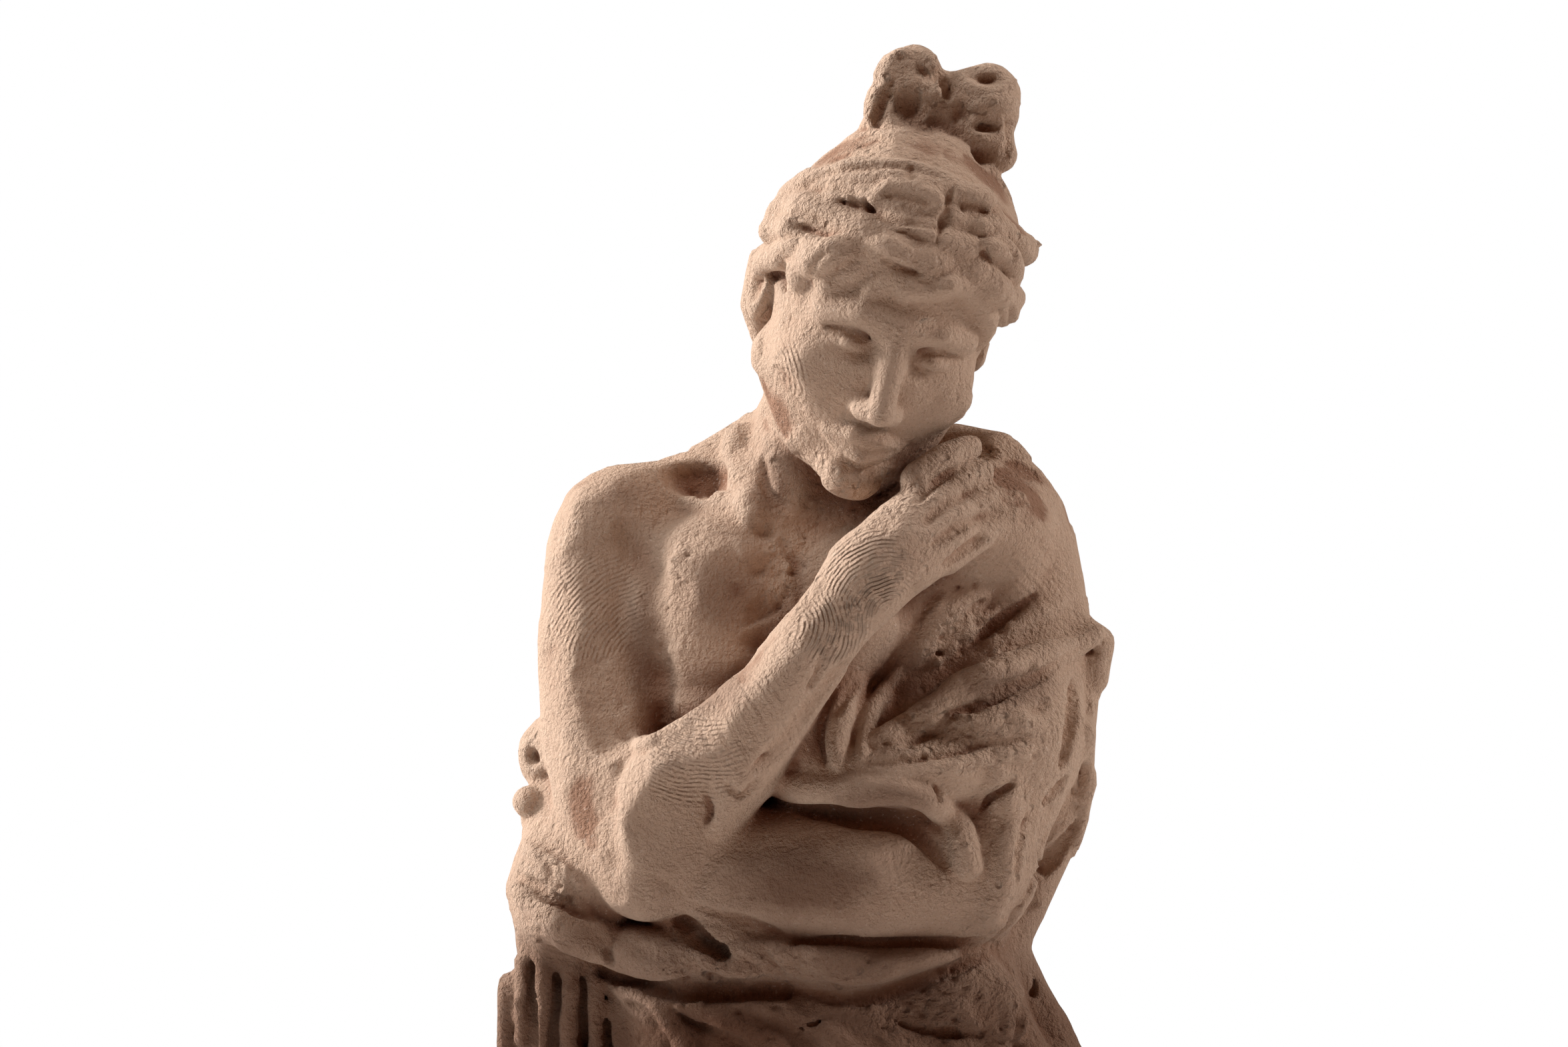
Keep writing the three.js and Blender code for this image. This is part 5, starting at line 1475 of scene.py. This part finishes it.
@dataclass(frozen=True)
class Terracotta:
    """Fired clay: warm, dark in hollows from dust and painted shade, greyer and paler where it is rubbed,
    with painted shade in patches on the front and towards the bottom.
    """

    body: tuple[float, float, float] = (0.43, 0.288, 0.206)
    # Dark red-brown of hollows and creases: partly dust, partly painted shade.
    hollow: tuple[float, float, float] = (0.22, 0.105, 0.062)
    rubbed: tuple[float, float, float] = (0.48, 0.346, 0.262)
    warm: tuple[float, float, float] = (0.45, 0.298, 0.212)
    # Dark red-brown of painted shade, for the patches on the front and the darkening towards the bottom.
    painted_shade: tuple[float, float, float] = (0.100, 0.040, 0.020)
    grain: tuple[float, float, float] = (0.16, 0.085, 0.055)
    speck: tuple[float, float, float] = (0.62, 0.50, 0.42)
    # Patches of painted shade under the forearms, lip, overfold and cloth block, and in the hollows of neck,
    # chest and cloak.
    shade_spots: tuple[ShadeSpot, ...] = (
        ShadeSpot(2, 201, 11, 5, 0.66),
        ShadeSpot(11, 211.6, 9, 3, 0.6),
        ShadeSpot(-9, 181, 14, 5, 0.75),
        ShadeSpot(-33, 190, 6, 5, 0.5),
        ShadeSpot(-20.4, 231, 3, 11, 0.5),
        ShadeSpot(-3, 254, 4, 7, 0.5),
        ShadeSpot(-22, 252, 7, 3, 0.45),
        ShadeSpot(-9, 238, 7, 6, 0.4),
        ShadeSpot(-11, 226, 7, 4, 0.4),
        ShadeSpot(28, 226, 7, 3, 0.45),
        ShadeSpot(15, 228, 5, 5, 0.5),
    )
    roughness: float = 0.88
    relief_depth: float = 0.00048
    prints: tuple[Marks, ...] = (
        Marks(10, 241, -31, 7, (3, -6), 0.55, 0.5),
        Marks(5.5, 233, -31, 6, (-9, 1), 0.62, 0.5),
        Marks(-14, 216, -29, 8, (2, 14), 0.6, 0.3),
        Marks(-27, 236, -10, 9, (10, -10), 0.6, 0.25),
        Marks(-4, 267, -24, 7, (-12, -2), 0.6, 0.35),
    )
    combs: tuple[Marks, ...] = (
        Marks(18, 200, -29, 9, (1, 0.25), 0.9, 1.0),
        Marks(23, 194, -24, 6, (1, -0.5), 0.8, 1.0),
        Marks(-32, 192, -18, 6, (0.3, 1), 0.9, 1.0),
        Marks(-2, 221, -31, 10, (0.9, 0.45), 0.8, 0.8),
        Marks(-29, 224, -14, 10, (0.4, 1), 1.1, 0.7),
        Marks(32, 243, -10, 10, (0.7, 0.6), 1.0, 0.7),
    )

    def material(self, scale: float) -> bpy.types.Material:
        """Builds the material.

        Args:
            scale: Real size over drawn size.

        Returns:
            The material, which reads Object coordinates and the values stored on the mesh.
        """
        made = bpy.data.materials.new("terracotta")
        made.use_nodes = True
        graph = Graph(made.node_tree)
        place = graph.node("ShaderNodeTexCoord").outputs["Object"]
        shader = graph.node("ShaderNodeBsdfPrincipled", {"Specular IOR Level": 0.25})
        graph.feed(shader.inputs["Base Color"], self.colour(graph, place))
        roughness = graph.span(graph.noise(place, 1500, 2), 0.3, 0.7, self.roughness, 1.0)
        graph.feed(shader.inputs["Roughness"], roughness)
        graph.feed(shader.inputs["Normal"], self.relief(graph, place, scale))
        graph.node("ShaderNodeOutputMaterial", {"Surface": shader.outputs[0]})
        return made

    def colour(self, graph: Graph, place: bpy.types.NodeSocket) -> bpy.types.NodeSocket:
        """Mixes the colours by blotches, rubbing, hollows with dust and painted shade, grains, patches of
        painted shade, and painted shade darker towards the bottom.
        """
        wide, near = graph.stored("wide"), graph.stored("near")
        blotch = graph.noise(place, 55, 4, 0.6)
        tint = graph.mix(graph.span(blotch, 0.35, 0.65, 0, 1), (*self.body, 1), (*self.warm, 1))
        proud = graph.span(graph.add(near, graph.noise(place, 300, 3), -0.12), 0.30, 0.60, 0.85, 0.5)
        tint = graph.mix(proud, tint, (*self.rubbed, 1))
        # Broad hollows turn red-brown: partly dust, partly painted shade.
        sunk_dust_and_shade = graph.span(graph.add(wide, blotch, 0.1), 0.58, 0.80, 0, 1)
        tint = graph.mix(sunk_dust_and_shade, tint, (*self.hollow, 1))
        # Tight creases darken the same way: dust and painted shade.
        crease = graph.span(near, 0.62, 0.76, 0, 0.8)
        tint = graph.mix(crease, tint, (*self.hollow, 1))
        grains = graph.span(graph.noise(place, 2600, 2, 0.7), 0.56, 0.72, 0, 0.4)
        tint = graph.mix(grains, tint, (*self.grain, 1))
        pale = graph.span(graph.noise(place, 1900, 2, 0.7), 0.60, 0.74, 0, 0.45)
        tint = graph.mix(pale, tint, (*self.speck, 1))
        streak = graph.noise(place, 260, 4, 0.7)
        # Painted shade: soft ragged patches, darkened where the front lies in shade.
        for shade_spot in self.shade_spots:
            away = graph.vector("SUBTRACT", place, shade_spot.middle())
            away = graph.vector("MULTIPLY", away, shade_spot.scale())
            away = graph.vector("LENGTH", away, out=1)
            away = graph.add(graph.add(away, blotch, 0.5), streak, 0.7)
            tint = graph.mix(graph.span(away, 0.95, 1.75, shade_spot.amount, 0), tint, (*self.painted_shade, 1))
        # Painted shade: everything below the overfold darkens, most just under it and a little less down
        # towards the base.
        height = graph.node("ShaderNodeSeparateXYZ", {"Vector": place}).outputs["Z"]
        ragged = graph.add(height, blotch, 0.02)
        below, lowest = graph.span(ragged, 0.200, 0.236, 0.82, 0), graph.span(ragged, 0.10, 0.18, 0.42, 0)
        return graph.mix(graph.math("SUBTRACT", below, lowest), tint, (*self.painted_shade, 1))

    def relief(self, graph: Graph, place: bpy.types.NodeSocket, scale: float) -> bpy.types.NodeSocket:
        """Adds up grain, pits, fingerprints and comb marks and turns them into a normal."""
        coarse = graph.stored("coarse")
        grain = graph.math("MULTIPLY", graph.noise(place, 1500, 3, 0.7), 1.4)
        grit = graph.math("MULTIPLY", graph.noise(place, 620, 3, 0.6), graph.span(coarse, 0.1, 0.9, 0.6, 3.0))
        height = graph.add(grain, grit)
        cells = graph.node("ShaderNodeTexVoronoi", {"Vector": place, "Scale": 420.0, "Randomness": 1.0})
        pit = graph.span(cells.outputs["Distance"], 0.05, 0.28, -1.0, 0)
        height = graph.add(height, graph.math("MULTIPLY", pit, graph.span(coarse, 0.1, 0.8, 0.3, 1.2)))
        for tree, marks in ((ring_prints(), self.prints), (comb_marks(), self.combs)):
            for mark in marks:
                height = graph.add(height, self.mark(graph, tree, mark, scale))
        values = {"Height": height, "Strength": 1.0, "Distance": self.relief_depth}
        return graph.node("ShaderNodeBump", values).outputs[0]

    def mark(self, graph: Graph, tree: bpy.types.NodeTree, mark: Marks, scale: float) -> bpy.types.NodeSocket:
        """Places one patch of marks and gives its height."""
        middle = (np.array(seen(mark.x, mark.z, mark.y)) + (0, 0, BASE_THICKNESS)) * MM * scale
        toward = np.array([mark.toward[0], 0, mark.toward[1]])
        group = graph.node("ShaderNodeGroup", node_tree=tree)
        graph.feed(group.inputs["Middle"], tuple(middle))
        if "Rings" in group.inputs:
            graph.feed(group.inputs["Rings"], tuple(middle + toward * MM * scale))
        else:
            graph.feed(group.inputs["Across"], tuple(toward / np.linalg.norm(toward)))
        graph.feed(group.inputs["Radius"], mark.radius * MM * scale)
        graph.feed(group.inputs["Spacing"], mark.spacing * MM * scale)
        return graph.math("MULTIPLY", group.outputs["Height"], mark.height)


@dataclass(frozen=True)
class Lamp:
    """A square soft light that faces the upper half of the figure.

    The azimuth is in degrees round from the camera's side, more to the right; the height is in degrees
    above level.
    """

    name: str
    azimuth: float
    height: float
    watts: float
    colour: Point


@dataclass
class Studio:
    """Floor, light and camera."""

    frame_width: float = 0.2114
    lens: float = 120.0
    sensor: float = 36.0
    floor_radius: float = 0.9
    aim: Point = (0.0, -0.01, 0.27)
    lamp_distance: float = 0.95
    lamp_size: float = 0.22
    lamps: tuple[Lamp, ...] = (
        Lamp("key", -58, 62, 3.1, (1.0, 0.98, 0.95)),
        Lamp("left side", -104, 20, 17.5, (1.0, 0.98, 0.95)),
        Lamp("left front", -72, 40, 2.2, (1.0, 0.96, 0.92)),
        Lamp("right side", 94, 24, 6.2, (1.0, 0.96, 0.92)),
        Lamp("crown", 120, 70, 1.2, (1.0, 0.88, 0.76)),
        Lamp("bounce", 25, 15, 0.8, (1.0, 0.50, 0.28)),
    )

    def build(self, scale: float) -> None:
        """Sets up everything round the piece."""
        self.floor()
        self.camera(scale)
        self.world()
        for lamp in self.lamps:
            self.hang(lamp)
        bpy.context.scene.view_settings.view_transform = "Standard"

    def floor(self) -> None:
        """Lays a round pale floor, small enough that its far edge stays below the view."""
        work = bmesh.new()
        bmesh.ops.create_circle(work, cap_ends=True, segments=96, radius=self.floor_radius)
        mesh = bpy.data.meshes.new("floor")
        work.to_mesh(mesh)
        work.free()
        floor = bpy.data.objects.new("floor", mesh)
        bpy.context.scene.collection.objects.link(floor)
        made = bpy.data.materials.new("floor")
        made.use_nodes = True
        shader = made.node_tree.nodes["Principled BSDF"]
        shader.inputs["Base Color"].default_value = (0.80, 0.79, 0.78, 1)
        shader.inputs["Roughness"].default_value = 0.7
        mesh.materials.append(made)

    def camera(self, scale: float) -> None:
        """Sets the level camera in front of the figure, at the height of its collar."""
        distance = -EYE[1] * MM * scale
        data = bpy.data.cameras.new("camera")
        data.sensor_width = self.sensor
        data.lens = self.sensor * distance / (self.frame_width * scale)
        data.clip_start = 0.05
        camera = bpy.data.objects.new("camera", data)
        camera.location = (EYE[0] * MM * scale, -distance, (EYE[2] + BASE_THICKNESS) * MM * scale)
        camera.rotation_euler = (np.pi / 2, 0, 0)
        bpy.context.scene.collection.objects.link(camera)
        bpy.context.scene.camera = camera

    def world(self) -> None:
        """Fills the studio with soft light that is brighter behind and above than in front."""
        made = bpy.data.worlds.new("studio")
        made.use_nodes = True
        graph = Graph(made.node_tree)
        way = graph.node("ShaderNodeTexCoord").outputs["Generated"]
        parts = graph.node("ShaderNodeSeparateXYZ", {"Vector": way}).outputs
        behind = graph.span(parts["Y"], -0.2, 0.9, 0.012, 0.12)
        above = graph.span(parts["Z"], -0.6, 1.0, 0.3, 1.5)
        light = graph.math("MULTIPLY", behind, above)
        direct = graph.node("ShaderNodeLightPath").outputs["Is Camera Ray"]
        strength = graph.node("ShaderNodeMix", {0: direct, 2: light, 3: 1.0}).outputs[0]
        tint = graph.mix(direct, (1, 0.80, 0.66, 1), (1, 1, 1, 1))
        backdrop = graph.node("ShaderNodeBackground", {"Color": tint, "Strength": strength})
        graph.node("ShaderNodeOutputWorld", {"Surface": backdrop.outputs[0]})
        bpy.context.scene.world = made

    def hang(self, given: Lamp) -> None:
        """Hangs a lamp at its place, turned to the figure."""
        data = bpy.data.lights.new(given.name, "AREA")
        data.size = self.lamp_size
        data.energy = given.watts
        data.color = given.colour
        lamp = bpy.data.objects.new(given.name, data)
        turn, rise = np.radians(given.azimuth), np.radians(given.height)
        way = Vector((np.sin(turn) * np.cos(rise), -np.cos(turn) * np.cos(rise), np.sin(rise)))
        lamp.location = Vector(self.aim) + way * self.lamp_distance
        lamp.rotation_euler = (-way).to_track_quat("-Z", "Y").to_euler()
        bpy.context.scene.collection.objects.link(lamp)


def main() -> None:
    """Builds the piece and the studio."""
    logging.basicConfig(level=logging.INFO, format="%(name)s: %(message)s")
    statuette = Statuette()
    piece = statuette.build()
    piece.data.materials.append(Terracotta().material(statuette.scale))
    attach(piece, BODY)
    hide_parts(NODE)
    log.info("%s stands for %s", piece.name, NODE)
    Studio().build(statuette.scale)


if __name__ == "__main__":
    main()
